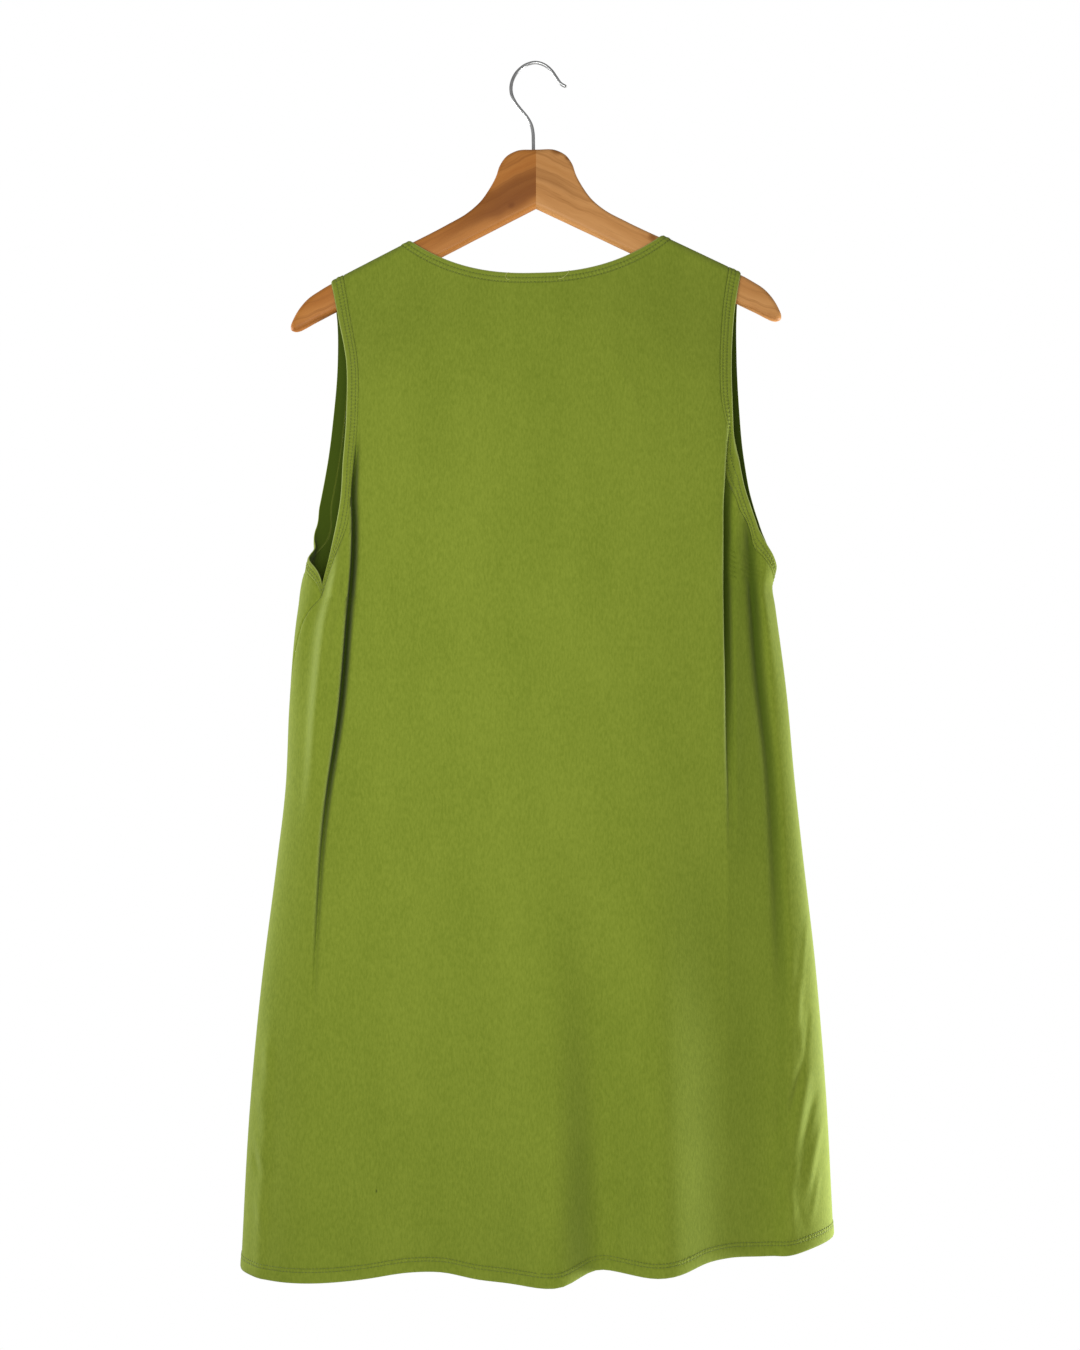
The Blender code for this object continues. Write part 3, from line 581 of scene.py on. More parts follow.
# The two pleat-like folds of the back, left and right of the middle: at each level the crest's
# place across, how far it stands out, how far the cloth right of it is tucked back under it, and
# how deep the valley there is.
PLEAT_COLUMNS = ("z", "x", "crest", "tuck", "valley")
LEFT_PLEAT = np.array((
    (-322.0, -162.5, 0.0, 0.0, 0.0),
    (-343.0, -163.4, 1.0, 0.6, 3.0),
    (-358.0, -163.8, 2.6, 2.2, 7.0),
    (-382.0, -165.0, 4.6, 3.7, 11.0),
    (-411.0, -164.2, 6.0, 4.2, 12.5),
    (-441.0, -164.6, 7.0, 4.4, 13.0),
    (-467.0, -166.3, 7.6, 4.4, 13.0),
    (-492.0, -168.5, 8.0, 4.4, 13.0),
    (-518.0, -170.5, 8.0, 4.4, 13.0),
    (-543.0, -172.4, 7.8, 4.4, 13.0),
    (-568.0, -174.8, 7.4, 4.2, 12.5),
    (-586.0, -177.0, 7.0, 4.1, 12.0),
    (-612.0, -181.0, 6.4, 3.7, 11.0),
    (-645.0, -186.3, 5.6, 3.1, 9.0),
    (-672.0, -189.9, 4.8, 2.5, 7.4),
    (-703.0, -193.0, 4.0, 1.7, 5.6),
    (-745.0, -195.8, 2.8, 0.8, 3.6),
    (-790.0, -198.2, 1.4, 0.2, 1.8),
    (-850.0, -200.0, 0.0, 0.0, 0.0),
))
RIGHT_PLEAT = np.array((
    (-304.0, 170.6, 0.0, 0.0, 0.0),
    (-325.0, 170.6, 0.8, 0.6, 1.6),
    (-342.0, 170.0, 1.8, 1.8, 4.0),
    (-360.0, 169.1, 2.6, 2.8, 6.4),
    (-378.0, 168.2, 3.0, 3.2, 8.0),
    (-396.0, 167.1, 3.4, 3.4, 9.4),
    (-434.0, 166.7, 3.6, 3.4, 10.6),
    (-474.0, 166.7, 3.6, 3.2, 10.8),
    (-519.0, 166.9, 3.4, 2.8, 10.2),
    (-554.0, 167.4, 3.0, 2.2, 8.6),
    (-590.0, 167.4, 2.4, 1.6, 6.6),
    (-620.0, 167.6, 1.8, 1.0, 4.6),
    (-655.0, 168.4, 1.0, 0.4, 2.4),
    (-715.0, 169.0, 0.0, 0.0, 0.0),
))
# The second valley, further right: it has no crest and no tuck.
RIGHT_VALLEY = np.array((
    (-400.0, 190.0, 0.0, 0.0, 0.0),
    (-418.0, 192.0, 0.0, 0.0, 4.0),
    (-431.0, 193.0, 0.0, 0.0, 7.4),
    (-446.0, 193.6, 0.0, 0.0, 9.4),
    (-473.0, 194.8, 0.0, 0.0, 10.4),
    (-500.0, 196.4, 0.0, 0.0, 10.4),
    (-525.0, 198.0, 0.0, 0.0, 10.2),
    (-547.0, 199.8, 0.0, 0.0, 10.0),
    (-586.0, 204.3, 0.0, 0.0, 9.4),
    (-626.0, 209.2, 0.0, 0.0, 8.4),
    (-666.0, 212.4, 0.0, 0.0, 7.4),
    (-719.0, 215.0, 0.0, 0.0, 6.0),
    (-771.0, 217.8, 0.0, 0.0, 4.8),
    (-824.0, 221.0, 0.0, 0.0, 3.6),
    (-900.0, 221.0, 0.0, 0.0, 2.2),
    (-990.0, 219.0, 0.0, 0.0, 1.0),
    (-1060.0, 218.0, 0.0, 0.0, 0.0),
))
# How far left of the valley's middle the tuck lies, then each shape: the crest's width left and
# right, the valley's place, its width left and right and its power.
PLEAT_TUCK_OFF = 0.4
LEFT_PLEAT_SHAPE = (26.0, 2.2, 3.2, 2.0, 3.0, 3.0)
RIGHT_PLEAT_SHAPE = (15.0, 2.0, 5.0, 3.2, 4.8, 4.0)
RIGHT_VALLEY_SHAPE = (1.0, 1.0, 0.0, 5.4, 6.5, 3.0)
# The valleys' depth at which the painted shade is full, how much painted shade the low ridge
# between the two right valleys gets and over what width it starts and ends, and how strong, how
# wide and how far right of a crest the painted highlight along its edge is.
PAINTED_SHADE_DEPTH = 11.0
PAINTED_SHADE_BETWEEN = 0.36
PAINTED_SHADE_START = 4.0
PAINTED_SHADE_END = 6.0
CREST_PAINTED_HIGHLIGHT = 0.55
CREST_HIGHLIGHT_WIDTH = 0.9
CREST_HIGHLIGHT_OFF = 0.9
# Creases that run slanting: from x and z to x and z, how far they bow, how wide and how high.
BACK_CREASES = (
    (229.0, -790.0, 221.0, -964.0, 2.0, 6.0, 2.6),
    (221.0, -955.0, 217.0, -1008.0, -1.0, 5.0, 2.8),
    (217.0, -1000.0, 233.0, -1046.0, -2.0, 5.0, 2.2),
    (243.0, -897.0, 229.0, -957.0, 1.5, 3.4, -2.0),
    (250.0, -905.0, 233.0, -985.0, 2.0, 4.2, 1.8),
    (256.0, -925.0, 236.0, -1010.0, 2.0, 3.6, -1.8),
    (262.0, -955.0, 243.0, -1030.0, 1.5, 4.0, 1.8),
    (240.0, -820.0, 233.0, -880.0, 1.0, 4.0, 1.5),
    (236.0, -835.0, 240.0, -900.0, 1.0, 2.2, 0.8),
    (246.0, -850.0, 240.0, -915.0, -1.0, 2.0, -0.8),
    (250.0, -975.0, 236.0, -1012.0, 1.0, 1.8, -0.9),
    (240.0, -985.0, 227.0, -1026.0, 1.5, 2.0, 0.9),
    (257.0, -1000.0, 247.0, -1052.0, -1.0, 2.4, 0.9),
    (234.0, -925.0, 225.0, -975.0, 1.0, 2.0, -0.8),
    (233.0, -1020.0, 246.0, -1060.0, 1.5, 2.2, -0.9),
    (226.0, -1030.0, 236.0, -1066.0, 1.0, 2.6, 0.9),
    (247.0, -770.0, 239.0, -835.0, 1.0, 2.2, 0.7),
    (-252.0, -968.0, -242.0, -990.0, 0.5, 2.8, -1.8),
    (-252.0, -948.0, -239.0, -978.0, 0.5, 2.8, 1.6),
    (-250.0, -1004.0, -243.0, -1030.0, -2.0, 3.4, 1.6),
    (-236.0, -830.0, -247.0, -1110.0, 0.0, 6.0, 2.6),
    (-240.0, -870.0, -236.0, -900.0, 1.0, 4.0, 1.6),
    (-244.0, -905.0, -244.0, -935.0, 1.0, 4.0, 1.6),
    (-46.0, -190.0, -70.0, -262.0, 3.0, 9.0, 0.7),
    (62.0, -250.0, 92.0, -330.0, -3.0, 7.0, 0.8),
    (40.0, -420.0, 58.0, -560.0, 4.0, 16.0, 0.8),
    (-70.0, -480.0, -58.0, -640.0, -4.0, 18.0, 0.7),
)
FRONT_CREASES = (
    (224.0, -800.0, 214.0, -960.0, 2.0, 7.0, 2.2),
    (-226.0, -820.0, -216.0, -985.0, 2.0, 7.0, 2.2),
    (240.0, -900.0, 226.0, -960.0, 1.5, 4.0, -1.6),
    (-244.0, -930.0, -230.0, -1010.0, 1.5, 4.0, 1.6),
    (-50.0, -300.0, -82.0, -390.0, 3.0, 9.0, 0.9),
    (70.0, -320.0, 96.0, -400.0, -3.0, 8.0, 0.8),
    (30.0, -480.0, 52.0, -620.0, 4.0, 18.0, 0.8),
)
CREASE_END = 0.3
FRONT_FOLDS = (
    (-370.0, -640.0, -880.0, -0.83, -0.86, -0.83, 8.0, 0.0, 20.0, 9.0, 150.0),
    (-370.0, -640.0, -880.0, -0.77, -0.80, -0.78, -6.0, 0.0, 9.0, 16.0, 150.0),
    (-360.0, -600.0, -820.0, 0.78, 0.82, 0.80, 8.0, 0.0, 10.0, 22.0, 150.0),
    (-360.0, -600.0, -820.0, 0.72, 0.76, 0.75, -6.0, 0.0, 16.0, 9.0, 150.0),
    (-520.0, -900.0, -1400.0, -0.60, -0.62, -0.63, 20.0, 0.0, 40.0, 34.0, 480.0),
    (-600.0, -950.0, -1400.0, -0.33, -0.34, -0.35, -12.0, 0.0, 38.0, 44.0, 420.0),
    (-560.0, -980.0, -1400.0, -0.08, -0.07, -0.06, 24.0, 0.0, 36.0, 40.0, 500.0),
    (-640.0, -980.0, -1400.0, 0.17, 0.18, 0.18, -10.0, 0.0, 30.0, 34.0, 400.0),
    (-540.0, -920.0, -1400.0, 0.44, 0.45, 0.46, 21.0, 0.0, 36.0, 42.0, 480.0),
    (-520.0, -900.0, -1400.0, 0.75, 0.74, 0.73, -10.0, 0.0, 40.0, 34.0, 420.0),
)


def cotton_jersey(name, light_hex, shade_hex, puckered):
    """Washed single jersey of combed cotton: matt, with a short soft nap that lightens grazing
    edges. The dye is a little uneven, in flecks 2 to 4 mm long that follow the upright wales, and
    in faint clouds. The fine tooth of the stitches, 0.8 mm apart, is drawn 1.1 mm apart so that it
    shows. Along a turned hem the needle draws small ridges 3.4 mm apart between its two rows."""
    made, tree, shader = new_finish(
        name, Roughness=0.9, Sheen_Weight=0.10, Sheen_Roughness=0.55, IOR=1.45,
        Sheen_Tint=linear("#f1f4d8"))
    shader.inputs["Specular IOR Level"].default_value = 0.3
    place = add_node(tree, "TexCoord").outputs["Object"]
    upright = add_node(tree, "Mapping", {"Vector": place, "Scale": (620.0, 620.0, 210.0)})
    fleck = add_node(tree, "TexNoise", {
        "Vector": upright.outputs[0], "Scale": 1.0, "Detail": 3.0, "Roughness": 0.65})
    broad = add_node(tree, "Mapping", {"Vector": place, "Scale": (24.0, 24.0, 9.0)})
    cloud = add_node(tree, "TexNoise", {"Vector": broad.outputs[0], "Scale": 1.0, "Detail": 2.0})
    flecked = add_node(tree, "MapRange", {
        "Value": fleck.outputs[0], "From Min": 0.32, "From Max": 0.68, "To Max": 0.80})
    clouded = add_node(tree, "MapRange", {
        "Value": cloud.outputs[0], "From Min": 0.3, "From Max": 0.7, "To Max": 0.28})
    tone = add_node(tree, "Math", {0: flecked.outputs[0], 1: clouded.outputs[0]}, operation="ADD")
    mix = add_node(tree, "Mix", {
        0: tone.outputs[0], 6: linear(shade_hex), 7: linear(light_hex)}, data_type="RGBA")
    # Painted shade: by the third part of the hem attribute the colour is mixed towards a deep
    # green, fully on the inside of the dress and in the pleats' valleys by their depth; inside, a
    # little of it is the purl side's own duller tone. Painted highlight: where that part is below
    # 0, on the pleats' crest edges and the bindings' free edges, the colour is mixed towards a pale
    # green.
    hem = add_node(tree, "Attribute", attribute_name="hem").outputs["Vector"]
    axes = add_node(tree, "SeparateXYZ", {0: hem})
    with_painted_shade = add_node(tree, "Mix", {
        0: axes.outputs[2], 6: mix.outputs[2], 7: linear("#4a5e0a")}, data_type="RGBA")
    painted_highlight = add_node(tree, "Math", {0: axes.outputs[2], 1: -1.0}, operation="MULTIPLY")
    painted_highlight = add_node(tree, "Math", {0: painted_highlight.outputs[0], 1: 0.0}, operation="MAXIMUM")
    dye_and_painted_light = add_node(tree, "Mix", {
        0: painted_highlight.outputs[0], 6: with_painted_shade.outputs[2], 7: linear("#ccd98c")},
        data_type="RGBA").outputs[2]
    tooth_at = add_node(tree, "Mapping", {"Vector": place, "Scale": (900.0, 900.0, 620.0)})
    tooth = add_node(tree, "TexNoise", {
        "Vector": tooth_at.outputs[0], "Scale": 1.0, "Detail": 2.0, "Roughness": 0.7})
    relief = add_node(tree, "Bump", {
        "Height": tooth.outputs[0], "Strength": 0.30, "Distance": 0.0005})
    if puckered:
        # A dark fleck caught in the cloth low on the back, about 3 mm long.
        away = add_node(tree, "VectorMath", {0: place, 1: FLECK_PLACE}, operation="SUBTRACT")
        flat = add_node(tree, "VectorMath", {
            0: away.outputs[0], 1: (1.0, 0.04, 0.45)}, operation="MULTIPLY")
        far = add_node(tree, "VectorMath", {0: flat.outputs[0]}, operation="LENGTH")
        spot = add_node(tree, "MapRange", {
            "Value": far.outputs["Value"], "From Min": 0.0011, "From Max": 0.0004,
            "To Max": 0.75}, interpolation_type="SMOOTHSTEP")
        dye_and_painted_light = add_node(tree, "Mix", {
            0: spot.outputs[0], 6: dye_and_painted_light, 7: linear("#2c3a10")}, data_type="RGBA").outputs[2]
        wander = add_node(tree, "TexNoise", {"Vector": hem, "Scale": 60.0, "Detail": 1.0})
        shift = add_node(tree, "Math", {
            0: wander.outputs[0], 1: 9.0}, operation="MULTIPLY")
        turn = add_node(tree, "Math", {
            0: axes.outputs[0], 1: 2.0 * math.pi / (PUCKER_PITCH * MM), 2: shift.outputs[0]},
            operation="MULTIPLY_ADD")
        wave = add_node(tree, "Math", {0: turn.outputs[0]}, operation="SINE")
        off = add_node(tree, "Math", {
            0: axes.outputs[1], 1: 0.5 * sum(HEM_STITCH_ROWS) * MM}, operation="SUBTRACT")
        off = add_node(tree, "Math", {0: off.outputs[0]}, operation="ABSOLUTE")
        near = add_node(tree, "MapRange", {
            "Value": off.outputs[0], "From Min": 0.0042, "From Max": 0.0008},
            interpolation_type="SMOOTHSTEP")
        ridge = add_node(tree, "Math", {
            0: wave.outputs[0], 1: near.outputs[0]}, operation="MULTIPLY")
        relief = add_node(tree, "Bump", {
            "Height": ridge.outputs[0], "Strength": 0.6, "Distance": 0.00025,
            "Normal": relief.outputs[0]})
    tree.links.new(dye_and_painted_light, shader.inputs["Base Color"])
    tree.links.new(relief.outputs[0], shader.inputs["Normal"])
    return made


def column(table, names, name, level):
    """One named column of a table, read at any level by a smooth curve through its rows."""
    order = np.argsort(table[:, 0])
    levels = table[order, 0]
    values = table[order, names.index(name)]
    slopes = np.gradient(values, levels)
    level = np.clip(level, levels[0], levels[-1])
    row = np.clip(np.searchsorted(levels, level) - 1, 0, len(levels) - 2)
    step = levels[row + 1] - levels[row]
    share = (level - levels[row]) / step
    start = values[row] + slopes[row] * step * share * (1.0 - share) ** 2
    rise = values[row + 1] - values[row]
    end = slopes[row + 1] * step * share ** 2 * (share - 1.0)
    return start + rise * smooth(share) + end


def section(name, level):
    """One named measure of the garment's rounded section at any level."""
    return column(SECTIONS, SECTION_COLUMNS, name, level)


def shoulder_line(x):
    """Height of the cloth over the arm's upper edge, which falls evenly towards the tip."""
    return ARM_TOP_Z + CLOTH_LIFT - ARM_SLOPE * (np.abs(x) - ARM_TOP_X)


def folds(table, share, half_width, level):
    """Sum of the folds at a place, outwards and aside: each is a bell across, wider on one side,
    and eases in below its top and out towards its end."""
    out = np.zeros(np.broadcast(share, level).shape)
    over = np.zeros(out.shape)
    for row in table:
        fold = dict(zip(FOLD_COLUMNS, row))
        levels = (fold["z_end"], fold["z_bend"], fold["z_top"])
        places = (fold["s_end"], fold["s_bend"], fold["s_top"])
        away = (share - np.interp(level, levels, places)) * half_width
        wide = np.where(away < 0.0, fold["left"], fold["right"])
        grown = smooth((fold["z_top"] - level) / fold["rise"])
        left_over = smooth((level - fold["z_end"]) / FOLD_FADE)
        bell = grown * left_over * np.exp(-((away / wide) ** 2))
        out = out + fold["height"] * bell
        over = over + fold["aside"] * bell
    calm = 1.0 - np.abs(share) ** SILHOUETTE_CALM
    return out * calm, over * calm


def pleat(table, shape, x, level):
    """One pleat-like fold, outwards, aside, and its valley alone: a crest with a broad left and
    a sharp right flank, and beside it a valley whose cloth is drawn back to the left, under the
    crest. Each of the three is a bell across, with its size read from the table, and the valley's
    bell has a power of its own, which squares its foot."""
    broad, sharp, beside, near, far, square = shape
    away = x - column(table, PLEAT_COLUMNS, "x", level)
    crest = np.exp(-((away / np.where(away < 0.0, broad, sharp)) ** 2))
    off = away - beside
    valley = np.exp(-(np.abs(off / np.where(off < 0.0, near, far)) ** square))
    valley = column(table, PLEAT_COLUMNS, "valley", level) * valley
    tuck = np.exp(-(((off + PLEAT_TUCK_OFF) / (0.5 * (near + far))) ** 2))
    out = column(table, PLEAT_COLUMNS, "crest", level) * crest
    return out - valley, -column(table, PLEAT_COLUMNS, "tuck", level) * tuck, valley


def creases(table, x, level):
    """Sum of the slanting creases at a place: each is a bell across the line between its two
    ends, which bows like a parabola, and eases in and out at the ends."""
    out = np.zeros(np.broadcast(x, level).shape)
    for x_top, z_top, x_end, z_end, bow, wide, high in table:
        length = math.hypot(x_end - x_top, z_end - z_top)
        ahead_x, ahead_z = (x_end - x_top) / length, (z_end - z_top) / length
        along = ((x - x_top) * ahead_x + (level - z_top) * ahead_z) / length
        across = (x - x_top) * ahead_z - (level - z_top) * ahead_x
        across = across - bow * 4.0 * along * (1.0 - along)
        ends = smooth(along / CREASE_END) * smooth((1.0 - along) / CREASE_END)
        out = out + high * ends * np.exp(-((across / wide) ** 2))
    return out


def cloth(degrees, level):
    """The cloth's inner face at an angle round the section and a level, before the tilt.

    0 degrees is the middle of the back and 180 the middle of the front. Across, x is the half
    width times the sine. The depth is the section's depth times the root of one less the sine to
    the power of its squareness. Near the shoulders it eases into an arch over the hanger's arm,
    and towards the hem it drops by the hem's own table. The left side is drawn in by a bell
    across beside its armhole's foot, and the right side swings forwards towards the hem.
    """
    turn = np.radians(degrees)
    share = np.sin(turn)
    front = np.cos(turn) < 0.0
    half_width = section("half_width", level)
    x = section("centre", level) + half_width * share
    fullness = 1.0 - np.abs(share) ** section("square", level)
    bow = np.sqrt(np.maximum(fullness, 0.0))
    back_out, back_aside = folds(BACK_FOLDS, share, half_width, level)
    left_out, left_aside, _ = pleat(LEFT_PLEAT, LEFT_PLEAT_SHAPE, x, level)
    right_out, right_aside, _ = pleat(RIGHT_PLEAT, RIGHT_PLEAT_SHAPE, x, level)
    valley_out, _, _ = pleat(RIGHT_VALLEY, RIGHT_VALLEY_SHAPE, x, level)
    calm = 1.0 - np.abs(share) ** SILHOUETTE_CALM
    back_out = back_out + left_out + right_out + valley_out * calm
    back_aside = back_aside + left_aside + right_aside
    front_out, front_aside = folds(FRONT_FOLDS, share, half_width, level)
    back_out = back_out + creases(BACK_CREASES, x, level)
    front_out = front_out + creases(FRONT_CREASES, x, level)
    back_depth = -section("back", level) * bow - back_out
    front_depth = section("front", level) * bow + front_out
    middle = section("middle", level) + section("lean", level) * share
    beyond = np.maximum(share - SWING_FROM, 0.0) / SWING_OVER
    swing = 0.5 * (smooth(beyond) + beyond)
    middle = middle + column(SWINGS, SWING_COLUMNS, "forwards", level) * swing
    hung = middle + np.where(front, front_depth, back_depth)
    down = np.maximum(shoulder_line(x) - level, 0.0)
    lift = 1.0 - np.minimum(down / ARCH_HEIGHT, 1.0)
    arch = (ARM_HALF_THICK + CLOTH_SIDE) * np.sqrt(1.0 - lift * lift)
    arch = np.maximum(arch, SEAM_HALF_GAP)
    over_arm = arm_sweep(x) + np.where(front, arch, -arch)
    share_hung = smooth(down / SHOULDER_BLEND)
    y = over_arm * (1.0 - share_hung) + hung * share_hung
    back_drop = column(HEM_DROPS, HEM_COLUMNS, "back", x)
    drop = np.where(front, column(HEM_DROPS, HEM_COLUMNS, "front", x), back_drop)
    z = level - drop * smooth((HEM_EASE_Z - level) / (HEM_EASE_Z - HEM_Z))
    beside = np.degrees(np.arctan2(np.cos(turn), -share)) - TUCK_PLACE
    drawn = column(TUCKS, TUCK_COLUMNS, "left", level) * np.exp(-((beside / TUCK_WIDTH) ** 2))
    x = x + drawn + np.where(front, front_aside, back_aside) * share_hung
    return np.stack(np.broadcast_arrays(x, y, z), axis=-1)


def painted_fold_shade_and_highlight(degrees, level):
    """Painted shade and painted highlight on the back's cloth at a place: from 0 to 1 of painted
    shade in the pleats' valleys by their depth and on the low ridge between the two right valleys,
    where the folds' shadow falls, and below 0 for a painted highlight on the edges of their crests."""
    x = section("centre", level) + section("half_width", level) * np.sin(np.radians(degrees))
    pairs = (
        (LEFT_PLEAT, LEFT_PLEAT_SHAPE), (RIGHT_PLEAT, RIGHT_PLEAT_SHAPE),
        (RIGHT_VALLEY, RIGHT_VALLEY_SHAPE))
    deep = sum(pleat(table, shape, x, level)[2] for table, shape in pairs) / PAINTED_SHADE_DEPTH
    past_crest = smooth((x - column(RIGHT_PLEAT, PLEAT_COLUMNS, "x", level)) / PAINTED_SHADE_START)
    before_valley = column(RIGHT_VALLEY, PLEAT_COLUMNS, "x", level) - x
    to_valley = smooth(before_valley / PAINTED_SHADE_END + 0.5)
    low = column(RIGHT_VALLEY, PLEAT_COLUMNS, "valley", level) / PAINTED_SHADE_DEPTH
    # Painted highlight just right of each of the two pleats' crests.
    painted_highlight = np.zeros(x.shape)
    for table, _ in pairs[:2]:
        off = x - column(table, PLEAT_COLUMNS, "x", level) - CREST_HIGHLIGHT_OFF
        sharp = smooth(column(table, PLEAT_COLUMNS, "valley", level) / PAINTED_SHADE_DEPTH)
        painted_highlight = painted_highlight + CREST_PAINTED_HIGHLIGHT * sharp * np.exp(-((off / CREST_HIGHLIGHT_WIDTH) ** 2))
    # Painted shade on the low ridge between the two right valleys, which lies in the main panel's
    # shadow.
    between = PAINTED_SHADE_BETWEEN * past_crest * to_valley * np.clip(low, 0.0, 1.0)
    return np.clip(np.maximum(deep, between), 0.0, 1.0) - painted_highlight


def degrees_at(x, level, front):
    """The angle round the section of a point at x, on the back or on the front."""
    share = (x - section("centre", level)) / section("half_width", level)
    back_degrees = np.degrees(np.arcsin(np.clip(share, -1.0, 1.0)))
    return 180.0 - back_degrees if front else back_degrees


def side_angle(side, front, outwards):
    """Degrees round the section of a place counted from its panel's middle towards a side."""
    signed = -outwards if side == "left" else outwards
    return 180.0 - signed if front else signed


def per_degree(degrees, level):
    """Millimetres of cloth for one degree round the section, read just below the arch."""
    below = level - 2.0 * ARCH_HEIGHT
    step = cloth(degrees + 0.5, below) - cloth(degrees - 0.5, below)
    return np.linalg.norm(step, axis=-1)


def outward(degrees, level):
    """Unit normals of the cloth at a place, facing away from the inside of the garment."""
    around = cloth(degrees + ANGLE_PROBE, level) - cloth(degrees - ANGLE_PROBE, level)
    up = cloth(degrees, level + LEVEL_PROBE) - cloth(degrees, level - LEVEL_PROBE)
    return unit(np.cross(around, up))


def neck_curve(front, across):
    """Points along the neck from right of centre to left, at a distance across its band.

    The edge drops from the neck points by a power curve. The band's width turns from straight
    down at the centre to along the shoulder at the neck points.
    """
    share = np.linspace(-1.0, 1.0, NECK_CURVE_STEPS + 1)
    drop = FRONT_NECK_DROP if front else BACK_NECK_DROP
    curve = FRONT_NECK_CURVE if front else BACK_NECK_CURVE
    low = shoulder_line(NECK_HALF) - drop
    z = low + drop * np.abs(share) ** curve
    along_shoulder = math.atan2(1.0, ARM_SLOPE)
    lean = along_shoulder * np.abs(share) ** NECK_LEAN_POWER
    x = NECK_HALF * share + across * np.sin(lean) * np.sign(share)
    return x, z - across * np.cos(lean)


def armhole_curve(side, front, across, share):
    """Angle and level at a share of the way up the armhole, at a distance across its band.

    The band's width points down at the underarm and turns to point sideways further up, and
    along the shoulder at the top. Angles count outwards from the middle of the panel.
    """
    name = ("front_" if front else "back_") + side
    level = UNDERARM_Z + (SHOULDER_TIP_Z - UNDERARM_Z) * share
    outwards = column(ARMHOLE, ARMHOLE_COLUMNS, name, level)
    lean = 0.5 * math.pi * smooth(share / BAND_TURN_SHARE)
    near = level - across * np.cos(lean)
    middle = side_angle(side, front, outwards)
    outwards = outwards - across * np.sin(lean) / per_degree(middle, near)
    x = cloth(side_angle(side, front, outwards), near)[..., 0]
    rise = shoulder_line(x) - SHOULDER_TIP_Z
    return outwards, near + rise * smooth((share - 1.0 + BAND_TOP_SHARE) / BAND_TOP_SHARE)


def side_edge(side, front, share_up, levels):
    """Angle and level of a panel's side: the side seam up to the armhole band, then the band's
    inner edge up to the shoulder. Angles count from the middle of the panel outwards."""
    seam = column(SEAMS, SEAM_COLUMNS, side, levels)
    toward_back = seam if side == "left" else -seam
    seam_degrees = 90.0 + toward_back if front else 90.0 - toward_back
    inset = ARMHOLE_BAND + 2.0 * SEAM_HALF_GAP
    band_degrees, band_levels = armhole_curve(side, front, inset, share_up)
    degrees = np.concatenate((seam_degrees[:-1], band_degrees))
    side_levels = np.concatenate((levels[:-1], band_levels))
    seam_rows = np.arange(len(degrees)) < len(levels)
    angles = side_angle(side, front, degrees)
    gap = SEAM_HALF_GAP / per_degree(angles, side_levels)
    return np.where(seam_rows, degrees - gap, degrees), side_levels


def top_line(front, x):
    """Height of a panel's top at x: under the neck band, and along the shoulder outside it."""
    across = NECK_BAND + 2.0 * SEAM_HALF_GAP
    neck_x, neck_z = neck_curve(front, across)
    inside = np.abs(x) < neck_x[-1]
    return np.where(inside, np.interp(x, neck_x, neck_z), shoulder_line(x))


def crowded(degrees, level):
    """Moves a panel's evenly spread columns towards the two pleats, which need them. The spread
    is solved so that an even step of angle plus a hyperbolic tangent round each pleat stays even
    along the row."""
    lines = [
        degrees_at(column(table, PLEAT_COLUMNS, "x", level) + CROWD_OFF, level, False)
        for table in (LEFT_PLEAT, RIGHT_PLEAT)
    ]

    def spread(angle):
        """An angle's place in the crowded row before it is stretched to the row's ends."""
        near = [np.tanh((angle - line) / CROWD_WIDTH) for line in lines]
        return angle + CROWD_GAIN * CROWD_WIDTH * (near[0] + near[1])

    low, high = degrees[:, :1], degrees[:, -1:]
    share = (degrees - low) / (high - low)
    wanted = spread(low) + share * (spread(high) - spread(low))
    below = np.broadcast_to(low, degrees.shape)
    above = np.broadcast_to(high, degrees.shape)
    for _ in range(CROWD_STEPS):
        middle = 0.5 * (below + above)
        short = spread(middle) < wanted
        below = np.where(short, middle, below)
        above = np.where(short, above, middle)
    return 0.5 * (below + above)


